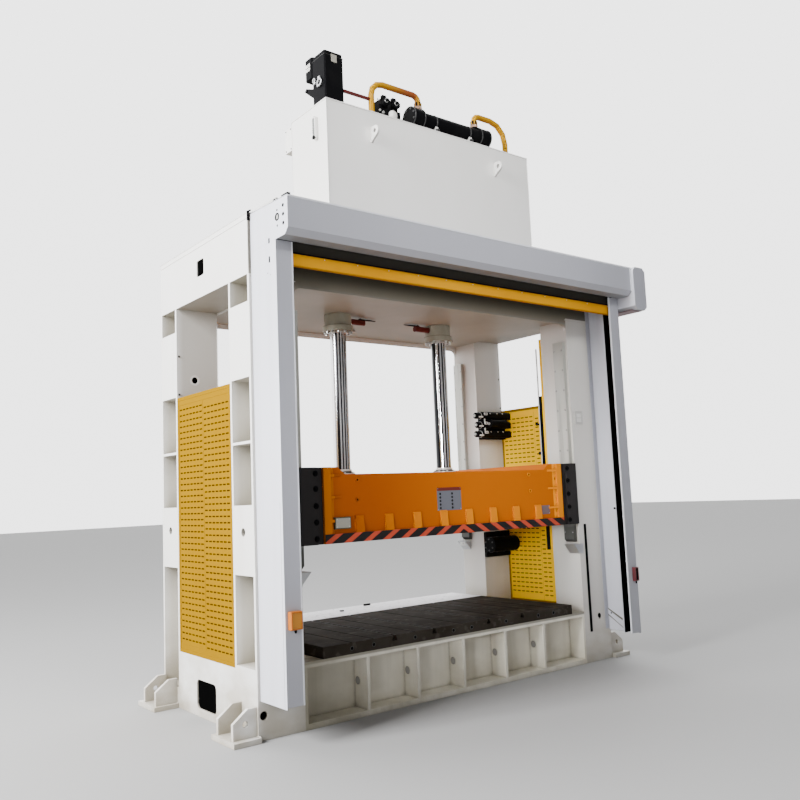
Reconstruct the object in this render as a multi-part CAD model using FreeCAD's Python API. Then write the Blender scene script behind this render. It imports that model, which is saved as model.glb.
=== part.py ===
import FreeCAD, Part
import math
import os
from FreeCAD import Vector

# Hydraulic press with a straight-sided welded frame, two cylinders and a roller shutter.
# Millimetres. X runs right as seen from the front, Y to the back, Z up.
# The origin is the centre of the frame's footprint, at floor level.
# The slide is drawn part-way down, where the photograph shows it, and the shutter open.

os.makedirs("parts", exist_ok=True)

# ---------------------------------------------------------------- driving dimensions
# Frame
frame_width = 3770.0
frame_depth = 1632.0
frame_height = 3700.0
column_width = 371.0
column_depth = 330.0
column_height = 3247.0
column_plate = 26.0
column_pocket_depth = 150.0
front_pocket_low = 467.0
front_pocket_high = 1097.0
rear_pocket_low = 160.0
rear_pocket_high = 1102.0
middle_pocket_low = 1590.0
middle_pocket_high = 2500.0
top_pocket_low = 3050.0
shelf_height = 2035.0
shelf_thickness = 20.0
drain_hole_radius = 30.0
drain_hole_height = 1400.0
cable_hole_inset = 211.0
cable_hole_height = 2649.0
cable_hole_radius = 45.0
foot_port_inset = 43.0
foot_port_height = 164.0
foot_port_radius = 30.0
oil_port_inset = 219.0
oil_port_height = 397.0
oil_port_radius = 20.0

# Crown
crown_wall = 30.0
crown_top_plate = 40.0
crown_bottom_plate = 40.0
crown_underside = 3228.0
crown_web_low = 3188.0
crown_corner_radius = 60.0
crown_window_length = 130.0
crown_window_low = 3420.0
crown_window_high = 3552.0
crown_window_radius = 20.0
crown_web_spread = 250.0

# Bed and feet
bed_height = 465.0
bed_flange = 42.0
bed_floor = 40.0
bed_recess = 171.0
bed_web = 30.0
bed_rib = 25.0
bed_rib_pitch = 480.0
bed_ribs_each_side = 2
bed_side_height = 444.0
bed_side_hole_length = 337.0
bed_side_hole_low = 60.0
bed_side_hole_high = 275.0
bed_side_hole_radius = 40.0
foot_length = 205.0
foot_width = 345.0
foot_inset = 515.0
foot_thickness = 35.0
foot_gusset = 30.0
foot_gusset_reach = 181.0
foot_gusset_shoulder = 142.0
foot_gusset_height = 225.0
foot_gusset_top = 70.0
foot_hole_radius = 21.0

# Bolster, its slots and the deck behind it
bolster_length = 2700.0
bolster_front = 814.0
bolster_rear = 396.0
bolster_thickness = 83.0
slot_spacing_inner = 600.0
slot_spacing_outer = 1400.0
slot_neck_width = 28.0
slot_neck_depth = 20.0
slot_head_width = 46.0
slot_head_depth = 20.0
deck_rear = 860.0
deck_height = 84.0
deck_sheet = 10.0

# Guide rails and the trays below them
rail_thickness = 40.0
rail_width = 120.0
rail_inset = 26.0
rail_low = 1110.0
rail_high = 3020.0
rail_chamfer = 25.0
tray_top = 1093.0
tray_drop = 93.0
tray_reach = 82.0
tray_length = 126.0
tray_sheet = 3.0
tray_tab = 45.0
tray_tip = 12.0

# Side guards
guard_low = bed_side_height
guard_high = 2490.0
guard_depth = 18.0
guard_sheet = 3.0
guard_slot_length = 400.0
guard_slot_height = 8.0
guard_slot_pitch = 141.0
guard_slot_margin = 66.0
guard_slot_gap = 34.0

# Slide
slide_end_gap = 205.0
slide_plate_depth = 1600.0
slide_flange_depth = 1650.0
slide_low = 1280.0
slide_flange_height = 70.0
slide_top = 1792.0
slide_shoulder_top = 1846.0
slide_shoulder_length = 143.0
slide_shoulder_slope = 66.0
slide_wall = 40.0
slide_floor = 100.0
slide_web = 30.0
slide_web_spread = 125.0
slide_end_band = 64.0
slide_stub_pitch = 282.0
slide_stub_width = 75.0
slide_stub_top = 1478.0
slide_stub_nose = 12.0
slide_end_rib_length = 107.0
slide_end_rib_thickness = 20.0
slide_end_rib_tip = 2.0
slide_stubs_each_side = 4
slide_end_rib_heights = (1445.0, 1621.0, 1784.0)
gib_neck_depth = 160.0
gib_lip = 40.0
gib_neck_length = 65.0
gib_clearance = 0.3
gib_column_gap = 2.0

# Cylinders
cylinder_spacing = 1166.0
bore_radius = 100.0
barrel_radius = 150.0
barrel_nose_radius = 121.0
barrel_nose_drop = 103.0
barrel_top = 4640.0
barrel_cap = 30.0
barrel_seat_clearance = 0.5
gland_radius = 135.0
gland_thickness = 50.0
gland_bolt_count = 12
gland_bolt_circle = 112.0
gland_bolt_radius = 14.0
gland_bolt_height = 20.0
rod_radius = 70.0
running_clearance = 0.05
piston_low = 3480.0
piston_length = 120.0
rod_flange_radius = 110.0
rod_flange_height = 30.0

# Shut-off valves beside the cylinder noses
valve_length = 165.0
valve_body_size = 50.0
valve_body_chamfer = 12.0
valve_drop = 44.0
valve_stem_radius = 8.0
valve_stem_height = 15.0
valve_stem_place = 125.0
lever_length = 172.0
lever_width = 30.0
lever_thickness = 8.0
lever_heel = 16.0
lever_shoulder = 100.0
lever_seat_gap = 0.3

# Oil tank on the crown
tank_length = 2294.0
tank_front = 779.0
tank_rear = 242.0
tank_height = 1093.0
tank_wall = 8.0
lug_spacing = 1410.0
lug_thickness = 20.0
lug_reach = 56.0
lug_radius = 45.0
lug_hole_radius = 17.5
lug_drop = 192.0
lug_root_drop = 278.0
gauge_setback = 149.0
gauge_drop = 108.0
gauge_height = 194.0
gauge_width = 44.0
gauge_depth = 28.0
gauge_chamfer = 14.0
valve_box_length = 250.0
valve_box_depth = 113.0
valve_box_height = 210.0
valve_box_top_drop = 36.0

# Pump motor and its connector box
motor_inset = 149.5
motor_setback = 184.0
motor_width = 185.0
motor_depth = 190.0
motor_height = 467.0
motor_chamfer = 10.0
motor_flange = 210.0
motor_flange_thickness = 20.0
motor_cap_height = 30.0
motor_cap_inset = 4.0
connector_width = 110.0
connector_depth = 114.0
connector_low = 307.0
connector_height = 180.0
connector_chamfer = 15.0
eye_thickness = 20.0
eye_root_low = 123.0
eye_root_high = 200.0
eye_shoulder = 100.0
eye_reach = 125.0
eye_tip_low = 225.0
eye_tip_high = 245.0
eye_hole_radius = 12.0
eye_hole_reach = 85.0
eye_hole_height = 215.0

# Pipework, cooler and manifold
pipe_line_setback = 99.0
supply_pipe_radius = 15.0
supply_pipe_height = 161.0
pipe_radius = 26.0
return_pipe_inset = 525.0
return_pipe_height = 325.0
return_pipe_bend = 120.0
return_pipe_reach = 513.0
pipe_nut_radius = 34.0
pipe_nut_height = 30.0
pipe_small_bend = 55.0
bend_spans = 3
pressure_pipe_inset = 582.0
pressure_pipe_height = 320.0
pressure_pipe_reach = 398.0
pressure_pipe_large_bend = 190.0
cooler_left_inset = 932.0
cooler_right_inset = 447.0
cooler_radius = 75.0
cooler_head_radius = 92.0
cooler_head_length = 120.0
cooler_port_radius = 32.0
cooler_port_height = 230.0
cooler_height = 110.0
saddle_insets = (265.0, 245.0)
saddle_width = 34.0
saddle_foot = 60.0
manifold_gap = 1.0
manifold_length = 230.0
manifold_depth = 110.0
manifold_height = 90.0
solenoid_pitch = 105.0
solenoid_count = 2
solenoid_width = 70.0
solenoid_height = 80.0
solenoid_coil_width = 64.0
solenoid_coil_chamfer = 18.0
solenoid_coil_length = 42.0

# Shutter: posts, header, motor box, roll, curtain and bottom bar
post_side_x = 1865.0
post_sheet = 4.0
post_front = 1178.0
post_low = 276.0
post_side_lip = 12.0
guide_mouth_x = 1732.0
guide_front_wall = 13.0
guide_slot = 70.0
guide_rear_wall = 12.0
post_flange = 50.0
brace_width = 60.0
brace_rise = 176.0
header_low = 3403.0
header_front = 1349.0
header_top_rear = 3691.0
header_top_front = 3670.0
header_chamfer_height = 43.0
header_chamfer_depth = 41.0
header_under_rear = 1190.0
header_back_flange = 45.0
shutter_motor_width = 180.0
shutter_motor_front = 1379.0
shutter_motor_rear = 1050.0
shutter_motor_low = 3265.0
shutter_motor_high = 3675.0
shutter_motor_chamfer = 35.0
curtain_thickness = 4.0
shutter_side_gap = 21.0
roll_height = 3552.0
roll_radius = 75.7
roll_gap = 0.3
roll_shaft_radius = 20.0
roll_end_gap = 60.0
bar_low = 3243.0
bar_height = 97.0
bar_thickness = 40.0
bar_round = 14.0

# Small fittings on the posts and columns
sensor_height = 149.0
sensor_low = 746.0
left_sensor_width = 110.0
left_sensor_outer = 1846.0
left_sensor_depth = 50.0
right_sensor_width = 57.0
right_sensor_inner = 1791.0
right_sensor_low = 736.0
right_sensor_height = 135.0
right_sensor_depth = 40.0
sensor_chamfer = 10.0
encoder_x = 1603.0
encoder_width = 20.0
encoder_depth = 8.0
encoder_low = 279.0
encoder_high = 1267.0
switch_plate_x = 1559.0
switch_plate_width = 105.0
switch_plate_low = 2221.0
switch_plate_height = 123.0
switch_plate_depth = 6.0
limit_rail_x = 1560.0
limit_rail_width = 40.0
limit_rail_depth = 46.0
limit_rail_low = 1030.0
limit_rail_high = 2540.0
limit_rail_foot = 70.0
limit_switch_heights = (1960.0, 2270.0)
limit_switch_radius = 24.0
limit_switch_height = 46.0
guard_fitting_gap = 4.0
valve_block_left = 1457.0
valve_block_low = 2173.0
valve_block_height = 296.0
valve_block_depth = 150.0
valve_block_back = 60.0
valve_section_height = 74.0
valve_section_chamfer = 16.0
valve_sections = 3
lock_left = 1500.0
lock_low = 925.0
lock_height = 262.0
lock_depth = 186.0
lock_back = 40.0
lock_radius = 78.0

# How far each cut runs past the face it opens
overcut = 1.0

# ---------------------------------------------------------------- places worked out
frame_x = frame_width / 2
frame_y = frame_depth / 2
opening_x = frame_x - column_width
column_inner_y = frame_y - column_depth
pocket_x = frame_x - column_pocket_depth
bolster_top = bed_height + bolster_thickness
slot_places = (-slot_spacing_outer / 2, -slot_spacing_inner / 2,
               slot_spacing_inner / 2, slot_spacing_outer / 2)
slide_x = opening_x - slide_end_gap
gib_inner_face = slide_x + gib_neck_length
slide_plate_y = slide_plate_depth / 2
slide_flange_y = slide_flange_depth / 2
cylinder_x = cylinder_spacing / 2
nose_low = crown_underside - barrel_nose_drop
tank_x = tank_length / 2
tank_top = frame_height + tank_height
motor_centre_x = -tank_x + motor_inset
motor_centre_y = -tank_front + motor_setback
pipe_line_y = -tank_front + pipe_line_setback
return_pipe_x = -tank_x + return_pipe_inset
return_pipe_drop_x = return_pipe_x + return_pipe_reach
pressure_pipe_x = tank_x - pressure_pipe_inset
pressure_pipe_end_x = pressure_pipe_x + pressure_pipe_reach
cooler_left = -tank_x + cooler_left_inset
cooler_right = tank_x - cooler_right_inset
saddle_places = (cooler_left + saddle_insets[0], cooler_right - saddle_insets[1])
manifold_left = return_pipe_x + pipe_nut_radius + manifold_gap
manifold_right = manifold_left + manifold_length
curtain_y = post_front - guide_front_wall - guide_slot / 2
fitting_right = frame_x - guard_depth - guard_fitting_gap
roll_y = curtain_y + curtain_thickness / 2 + roll_gap + roll_radius


# ---------------------------------------------------------------- helpers
def box(x0, x1, y0, y1, z0, z1):
    return Part.makeBox(x1 - x0, y1 - y0, z1 - z0, Vector(x0, y0, z0))


def cylinder(radius, start, end):
    base = Vector(*start)
    axis = Vector(*end).sub(base)
    return Part.makeCylinder(radius, axis.Length, base, axis)


def prism(points, sweep):
    corners = [Vector(*point) for point in points]
    outline = Part.makePolygon(corners + [corners[0]])
    return Part.Face(outline).extrude(Vector(*sweep))


def across_x(points, x0, x1):
    """Prism along X of an outline given as (y, z)."""
    return prism([(x0, y, z) for y, z in points], (x1 - x0, 0, 0))


def across_y(points, y0, y1):
    """Prism along Y of an outline given as (x, z)."""
    return prism([(x, y0, z) for x, z in points], (0, y1 - y0, 0))


def across_z(points, z0, z1):
    """Prism along Z of an outline given as (x, y)."""
    return prism([(x, y, z0) for x, y in points], (0, 0, z1 - z0))


def turned(profile, axis_point, axis):
    """Solid of revolution of an outline given as (radius, distance along the axis)."""
    along = Vector(*axis)
    outward = Vector(0, 0, 1) if abs(along.z) < 0.5 else Vector(1, 0, 0)
    base = Vector(*axis_point)
    corners = [base + outward * radius + along * distance for radius, distance in profile]
    outline = Part.makePolygon(corners + [corners[0]])
    return Part.Face(outline).revolve(base, along, 360)


def fused(shapes):
    body = shapes[0].multiFuse(shapes[1:]) if len(shapes) > 1 else shapes[0]
    return body.removeSplitter()


def mirrored(shape, left, rear):
    """A front right piece carried over to its own corner of the press."""
    if left:
        shape = shape.mirror(Vector(0, 0, 0), Vector(1, 0, 0))
    if rear:
        shape = shape.mirror(Vector(0, 0, 0), Vector(0, 1, 0))
    return shape


def rounded_window_x(x0, x1, y0, y1, z0, z1, radius):
    """Block along X whose four long edges are rounded."""
    block = box(x0, x1, y0, y1, z0, z1)
    edges = [edge for edge in block.Edges if abs(edge.tangentAt(edge.FirstParameter).x) > 0.5]
    return block.makeFillet(radius, edges)


def chamfered_box(x0, x1, y0, y1, z0, z1, size, axis):
    """Box whose edges along one axis are chamfered."""
    block = box(x0, x1, y0, y1, z0, z1)
    along = Vector(*axis)
    picked = [edge for edge in block.Edges if abs(edge.tangentAt(edge.FirstParameter).dot(along)) > 0.5]
    return block.makeChamfer(size, picked)


def hexagon(x, y, radius, turn=0.0):
    """Corners of a hexagon as (x, y)."""
    angles = [turn + math.pi * index / 3 for index in range(6)]
    return [(x + radius * math.cos(angle), y + radius * math.sin(angle)) for angle in angles]


def clear_spans(low, high, webs, thickness):
    """Clear lengths between webs that stand between two end walls."""
    starts = [low] + [web + thickness / 2 for web in webs]
    ends = [web - thickness / 2 for web in webs] + [high]
    return list(zip(starts, ends))


def sheet_strip(points, thickness):
    """Outline of a folded sheet: the outer line, and back along its inner side."""
    inner = []
    for index, (a, b) in enumerate(points):
        normals = []
        for start, end in ((index - 1, index), (index, index + 1)):
            if start < 0 or end >= len(points):
                continue
            da = points[end][0] - points[start][0]
            db = points[end][1] - points[start][1]
            length = math.hypot(da, db)
            normals.append((-db / length, da / length))
        sum_a = sum(normal[0] for normal in normals)
        sum_b = sum(normal[1] for normal in normals)
        scale = thickness * len(normals) / (sum_a ** 2 + sum_b ** 2)
        inner.append((a + sum_a * scale, b + sum_b * scale))
    return points + inner[::-1]


def bent_pipe(radius, corners, bends):
    """Round pipe along straight runs joined by tangent bends."""
    points = [Vector(*corner) for corner in corners]
    pieces = []
    start = points[0]
    for index, bend in enumerate(bends):
        corner = points[index + 1]
        travel = (corner - points[index]).normalize()
        ahead = (points[index + 2] - corner).normalize()
        turn = travel.getAngle(ahead)
        setback = bend * math.tan(turn / 2)
        arc_start = corner - travel * setback
        bend_axis = travel.cross(ahead).normalize()
        centre = arc_start + bend_axis.cross(travel) * bend
        rings = []
        for step in range(bend_spans + 1):
            about = FreeCAD.Rotation(bend_axis, math.degrees(turn) * step / bend_spans)
            ring_centre = centre + about.multVec(arc_start - centre)
            rings.append(Part.Wire(Part.makeCircle(radius, ring_centre, about.multVec(travel))))
        pieces.append(cylinder(radius, start, arc_start))
        pieces.append(Part.makeLoft(rings, True, True))
        start = corner + ahead * setback
    pieces.append(cylinder(radius, start, points[-1]))
    return fused(pieces)


def save(name, shape):
    shape.exportStep("parts/" + name + ".step")


# ---------------------------------------------------------------- frame
def column(lower_pocket):
    """Front right column: a box section with pockets in its outer side."""
    body = box(opening_x, frame_x, -frame_y, -column_inner_y, 0, column_height)
    y0 = -frame_y + column_plate
    y1 = -column_inner_y - column_plate
    core_x = pocket_x - column_plate
    cuts = [box(opening_x + column_plate, core_x, y0, y1, column_plate, column_height - column_plate)]
    shelf_low = shelf_height - shelf_thickness / 2
    shelf_high = shelf_height + shelf_thickness / 2
    pockets = [lower_pocket, (middle_pocket_low, shelf_low), (shelf_high, middle_pocket_high),
               (top_pocket_low, column_height)]
    for low, high in pockets:
        cuts.append(box(pocket_x, frame_x + overcut, y0, y1, low, high))
    closed = [(0, lower_pocket[0]), (lower_pocket[1], middle_pocket_low),
              (middle_pocket_high, top_pocket_low)]
    for low, high in closed:
        cuts.append(box(pocket_x, frame_x - column_plate, y0, y1, low + column_plate, high - column_plate))
    middle_y = -(frame_y + column_inner_y) / 2
    cuts.append(cylinder(drain_hole_radius, (frame_x - column_plate - overcut, middle_y, drain_hole_height),
                         (frame_x + overcut, middle_y, drain_hole_height)))
    return body.cut(Part.makeCompound(cuts))


def column_face_hole(x, z, radius, face_y, inward):
    """Round hole through the one column plate that lies across Y."""
    return cylinder(radius, (x, face_y - inward * overcut, z), (x, face_y + inward * column_plate, z))


def build_columns():
    front_pocket = (front_pocket_low, front_pocket_high)
    rear_pocket = (rear_pocket_low, rear_pocket_high)
    front_left = mirrored(column(front_pocket), True, False)
    front_right = column(front_pocket)
    rear_left = mirrored(column(rear_pocket), True, True)
    rear_right = mirrored(column(rear_pocket), False, True)
    foot_port = column_face_hole(-frame_x + foot_port_inset, foot_port_height, foot_port_radius, -frame_y, 1)
    oil_port = column_face_hole(opening_x + oil_port_inset, oil_port_height, oil_port_radius, -frame_y, 1)
    cable_hole = column_face_hole(-opening_x - cable_hole_inset, cable_hole_height, cable_hole_radius,
                                  column_inner_y, 1)
    save("column_front_left", front_left.cut(foot_port))
    save("column_front_right", front_right.cut(oil_port))
    save("column_rear_left", rear_left.cut(cable_hole))
    save("column_rear_right", rear_right)


def build_crown():
    body = [box(-frame_x, frame_x, -frame_y, frame_y, column_height, frame_height),
            box(-opening_x, opening_x, -frame_y, frame_y, crown_underside, column_height)]
    for side in (-1, 1):
        face = side * frame_y
        inner = side * (frame_y - crown_wall)
        y0, y1 = sorted((face, inner))
        body.append(box(-opening_x, opening_x, y0, y1, crown_web_low, crown_underside))
        for end in (-1, 1):
            x0, x1 = sorted((end * opening_x, end * (opening_x - crown_corner_radius)))
            corner = box(x0, x1, y0, y1, crown_web_low - crown_corner_radius, crown_web_low)
            centre_x = end * (opening_x - crown_corner_radius)
            centre_z = crown_web_low - crown_corner_radius
            round_off = cylinder(crown_corner_radius, (centre_x, y0, centre_z), (centre_x, y1, centre_z))
            body.append(corner.cut(round_off))
    crown = fused(body)
    webs = [-opening_x + crown_wall / 2, -cylinder_x - crown_web_spread, -cylinder_x + crown_web_spread,
            cylinder_x - crown_web_spread, cylinder_x + crown_web_spread, opening_x - crown_wall / 2]
    cell_y = frame_y - crown_wall
    bottom_plate_top = crown_underside + crown_bottom_plate
    top_plate_low = frame_height - crown_top_plate
    cuts = []
    for x0, x1 in clear_spans(-frame_x + crown_wall, frame_x - crown_wall, webs, crown_wall):
        floor = bottom_plate_top
        if abs(x0 + x1) / 2 > opening_x:
            floor = column_height + crown_wall
        cuts.append(box(x0, x1, -cell_y, cell_y, floor, top_plate_low))
    half_window = crown_window_length / 2
    for end in (-1, 1):
        x0, x1 = sorted((end * (frame_x + overcut), end * (frame_x - crown_wall - overcut)))
        cuts.append(rounded_window_x(x0, x1, -half_window, half_window, crown_window_low, crown_window_high,
                                     crown_window_radius))
    for x in (-cylinder_x, cylinder_x):
        nose_bore = barrel_nose_radius + barrel_seat_clearance
        cuts.append(cylinder(nose_bore, (x, 0, crown_underside - overcut), (x, 0, bottom_plate_top)))
        barrel_bore = barrel_radius + barrel_seat_clearance
        cuts.append(cylinder(barrel_bore, (x, 0, top_plate_low - overcut), (x, 0, frame_height + overcut)))
    save("crown", crown.cut(Part.makeCompound(cuts)))


def bed_side():
    """Right side box of the bed, between the columns, with a window for a fork or pipes."""
    body = box(opening_x, frame_x, -column_inner_y, column_inner_y, 0, bed_side_height)
    cell_y = column_inner_y - column_plate
    half_hole = bed_side_hole_length / 2
    cuts = [box(opening_x + column_plate, frame_x - column_plate, -cell_y, cell_y,
                column_plate, bed_side_height - column_plate),
            rounded_window_x(frame_x - column_plate - overcut, frame_x + overcut, -half_hole, half_hole,
                             bed_side_hole_low, bed_side_hole_high, bed_side_hole_radius)]
    return body.cut(Part.makeCompound(cuts))


def build_bed():
    body = box(-opening_x, opening_x, -frame_y, frame_y, 0, bed_height)
    ribs = [index * bed_rib_pitch for index in range(-bed_ribs_each_side, bed_ribs_each_side + 1)]
    web_y = frame_y - bed_recess
    low = bed_floor
    high = bed_height - bed_flange
    cuts = []
    for x0, x1 in clear_spans(-opening_x + bed_rib, opening_x - bed_rib, ribs, bed_rib):
        cuts.append(box(x0, x1, -frame_y - overcut, -web_y, low, high))
        cuts.append(box(x0, x1, web_y, frame_y + overcut, low, high))
        cuts.append(box(x0, x1, -web_y + bed_web, web_y - bed_web, low, high))
    save("bed", body.cut(Part.makeCompound(cuts)))
    save("bed_side_right", bed_side())
    save("bed_side_left", mirrored(bed_side(), True, False))


def foot():
    """Front right foot: a floor plate and two gussets against the column."""
    y1 = -foot_inset
    y0 = y1 - foot_width
    outer = frame_x + foot_length
    plate = box(frame_x, outer, y0, y1, 0, foot_thickness)
    outline = [(frame_x, foot_thickness), (frame_x + foot_gusset_reach, foot_thickness),
               (frame_x + foot_gusset_reach, foot_gusset_shoulder),
               (frame_x + foot_gusset_top, foot_gusset_height), (frame_x, foot_gusset_height)]
    starts = (-frame_y + foot_gusset / 2, y1 - 2 * foot_gusset)
    outer_gusset, inner_gusset = [across_y(outline, start, start + foot_gusset) for start in starts]
    hole_x = frame_x + foot_gusset_reach / 2
    hole_z = (foot_thickness + foot_gusset_height) / 2
    hole = cylinder(foot_hole_radius, (hole_x, starts[0] - overcut, hole_z),
                    (hole_x, starts[0] + foot_gusset + overcut, hole_z))
    return fused([plate, outer_gusset.cut(hole), inner_gusset])


def build_feet():
    for side, left in (("left", True), ("right", False)):
        for end, rear in (("front", False), ("rear", True)):
            save("foot_" + end + "_" + side, mirrored(foot(), left, rear))


def slot_cutter(x, y0, y1, mouth, inward):
    """T-slot along Y that opens at height mouth and goes in along Z by the sign of inward."""
    neck_end = mouth + inward * slot_neck_depth
    head_end = neck_end + inward * slot_head_depth
    z0, z1 = sorted((mouth - inward * overcut, neck_end))
    neck = box(x - slot_neck_width / 2, x + slot_neck_width / 2, y0, y1, z0, z1)
    z0, z1 = sorted((neck_end, head_end))
    head = box(x - slot_head_width / 2, x + slot_head_width / 2, y0, y1, z0, z1)
    return neck.fuse(head)


def build_bolster():
    half = bolster_length / 2
    body = box(-half, half, -bolster_front, bolster_rear, bed_height, bolster_top)
    cuts = [slot_cutter(x, -bolster_front - overcut, bolster_rear + overcut, bolster_top, -1)
            for x in slot_places]
    save("bolster", body.cut(Part.makeCompound(cuts)))

    deck = box(-half, half, bolster_rear, deck_rear, bed_height, bed_height + deck_height)
    hollow = box(-half + deck_sheet, half - deck_sheet, bolster_rear + deck_sheet, deck_rear - deck_sheet,
                 bed_height - overcut, bed_height + deck_height - deck_sheet)
    save("rear_deck", deck.cut(hollow))


def guide_rail():
    """Front right guide rail on the column's inner face."""
    face = opening_x - rail_thickness
    y0 = -frame_y + rail_inset
    outline = [(opening_x, rail_low), (opening_x, rail_high), (face, rail_high),
               (face, rail_low + rail_chamfer), (face + rail_chamfer, rail_low)]
    return across_y(outline, y0, y0 + rail_width)


def catch_tray():
    """Front right oil tray: folded sheet, pointed, hung on the column by a front tab."""
    low = tray_top - tray_drop
    y0 = -frame_y - tray_sheet
    y1 = y0 + tray_length
    slope = tray_drop / tray_reach
    outer = across_y([(opening_x, tray_top), (opening_x - tray_reach, tray_top), (opening_x, low)], y0, y1)
    inner_x = opening_x - tray_sheet
    inner_reach = tray_reach - tray_tip
    inner = across_y([(inner_x, tray_top + overcut), (inner_x - inner_reach, tray_top + overcut),
                      (inner_x, tray_top + overcut - slope * inner_reach)], y0 + tray_sheet, y1 - tray_sheet)
    tab = box(opening_x, opening_x + tray_tab, y0, y0 + tray_sheet, low + tray_sheet, tray_top)
    return fused([outer.cut(inner), tab])


def build_rails_and_trays():
    trays = []
    for side, left in (("left", True), ("right", False)):
        for end, rear in (("front", False), ("rear", True)):
            save("guide_rail_" + end + "_" + side, mirrored(guide_rail(), left, rear))
            trays.append(mirrored(catch_tray(), left, rear))
    save("catch_trays", Part.makeCompound(trays))


def side_guard():
    """Right guard: a sheet tray between the columns with two columns of slots, staggered."""
    face = frame_x - guard_sheet
    inner = frame_x - guard_depth
    half = column_inner_y
    shell = box(inner, frame_x, -half, half, guard_low, guard_high)
    hollow = box(inner - overcut, face, -half + guard_sheet, half - guard_sheet,
                 guard_low + guard_sheet, guard_high - guard_sheet)
    cuts = [hollow]
    rows = int((guard_high - guard_low - 2 * guard_slot_margin) / guard_slot_pitch)
    for index in range(rows):
        for column_index in (0, 1):
            z = guard_low + guard_slot_margin + (index + column_index / 2) * guard_slot_pitch
            y0 = guard_slot_gap / 2 if column_index else -guard_slot_gap / 2 - guard_slot_length
            cuts.append(box(face - overcut, frame_x + overcut, y0, y0 + guard_slot_length,
                            z, z + guard_slot_height))
    return shell.cut(Part.makeCompound(cuts))


# ---------------------------------------------------------------- slide
def build_slide():
    shoulder_x = slide_x - slide_shoulder_length
    slope_x = shoulder_x - slide_shoulder_slope
    outline = [(-slide_x, slide_low), (-slide_x, slide_shoulder_top), (-shoulder_x, slide_shoulder_top),
               (-slope_x, slide_top), (slope_x, slide_top), (shoulder_x, slide_shoulder_top),
               (slide_x, slide_shoulder_top), (slide_x, slide_low)]
    flange_top = slide_low + slide_flange_height
    step = slide_flange_y - slide_plate_y
    body = [across_y(outline, -slide_plate_y, slide_plate_y),
            box(-slide_x, slide_x, -slide_flange_y, slide_flange_y, slide_low, flange_top)]
    for end in (-1, 1):
        x0, x1 = sorted((end * slide_x, end * (slide_x - slide_end_band)))
        body.append(box(x0, x1, -slide_flange_y, slide_flange_y, flange_top, slide_shoulder_top))
    stub = [(-slide_plate_y, flange_top), (-slide_flange_y, flange_top),
            (-slide_flange_y + step / 3, slide_stub_top - slide_stub_nose),
            (-slide_plate_y - step / 3, slide_stub_top), (-slide_plate_y, slide_stub_top)]
    band = slide_x - slide_end_band
    rib = [(band, -slide_plate_y), (band, -slide_flange_y),
           (band - slide_end_rib_length, -slide_plate_y - slide_end_rib_tip),
           (band - slide_end_rib_length, -slide_plate_y)]
    for rear in (False, True):
        for index in range(slide_stubs_each_side):
            x = (index + 0.5) * slide_stub_pitch
            piece = across_x(stub, x - slide_stub_width / 2, x + slide_stub_width / 2)
            body.extend([mirrored(piece, False, rear), mirrored(piece, True, rear)])
        for height in slide_end_rib_heights:
            piece = across_z(rib, height - slide_end_rib_thickness / 2, height + slide_end_rib_thickness / 2)
            body.extend([mirrored(piece, False, rear), mirrored(piece, True, rear)])
    slide = fused(body)
    webs = [-cylinder_x - slide_web_spread, -cylinder_x + slide_web_spread, 0,
            cylinder_x - slide_web_spread, cylinder_x + slide_web_spread]
    cell_y = slide_plate_y - slide_wall
    cuts = [box(x0, x1, -cell_y, cell_y, slide_low + slide_floor, slide_top - slide_wall)
            for x0, x1 in clear_spans(-slide_x + slide_wall, slide_x - slide_wall, webs, slide_web)]
    cuts.extend(slot_cutter(x, -slide_flange_y - overcut, slide_flange_y + overcut, slide_low, 1)
                for x in slot_places)
    save("slide", slide.cut(Part.makeCompound(cuts)))


def gib_block():
    """Front right gib: a block that wraps three faces of the rail, on a neck from the slide's end."""
    rail_y0 = -frame_y + rail_inset
    rail_y1 = rail_y0 + rail_width
    front = rail_y0 - gib_clearance - gib_lip
    rear = rail_y1 + gib_clearance + gib_lip
    outer = opening_x - gib_column_gap
    block = box(gib_inner_face, outer, front, rear, slide_low, slide_shoulder_top)
    groove = box(opening_x - rail_thickness - gib_clearance, outer + overcut, rail_y0 - gib_clearance,
                 rail_y1 + gib_clearance, slide_low - overcut, slide_shoulder_top + overcut)
    neck = box(slide_x, gib_inner_face, -slide_plate_y, -slide_plate_y + gib_neck_depth,
               slide_low, slide_shoulder_top)
    return fused([block.cut(groove), neck])


def build_gibs():
    for side, left in (("left", True), ("right", False)):
        blocks = [mirrored(gib_block(), left, rear) for rear in (False, True)]
        save("gib_blocks_" + side, Part.makeCompound(blocks))


# ---------------------------------------------------------------- cylinders
def piston_rod(x):
    low = slide_top + rod_flange_height
    piston_radius = bore_radius - running_clearance
    profile = [(0, 0), (rod_radius, 0), (rod_radius, piston_low - low), (piston_radius, piston_low - low),
               (piston_radius, piston_low + piston_length - low), (0, piston_low + piston_length - low)]
    return turned(profile, (x, 0, low), (0, 0, 1))


def rod_flange(x):
    return cylinder(rod_flange_radius, (x, 0, slide_top), (x, 0, slide_top + rod_flange_height))


def cylinder_barrel(x):
    shoulder = crown_underside + crown_bottom_plate - nose_low
    top = barrel_top - nose_low
    profile = [(bore_radius, 0), (barrel_nose_radius, 0), (barrel_nose_radius, shoulder),
               (barrel_radius, shoulder), (barrel_radius, top), (0, top), (0, top - barrel_cap),
               (bore_radius, top - barrel_cap)]
    return turned(profile, (x, 0, nose_low), (0, 0, 1))


def gland(x):
    """Gland ring bolted under the barrel nose."""
    inner = rod_radius + running_clearance
    profile = [(inner, 0), (gland_radius, 0), (gland_radius, gland_thickness), (inner, gland_thickness)]
    return turned(profile, (x, 0, nose_low - gland_thickness), (0, 0, 1))


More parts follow.
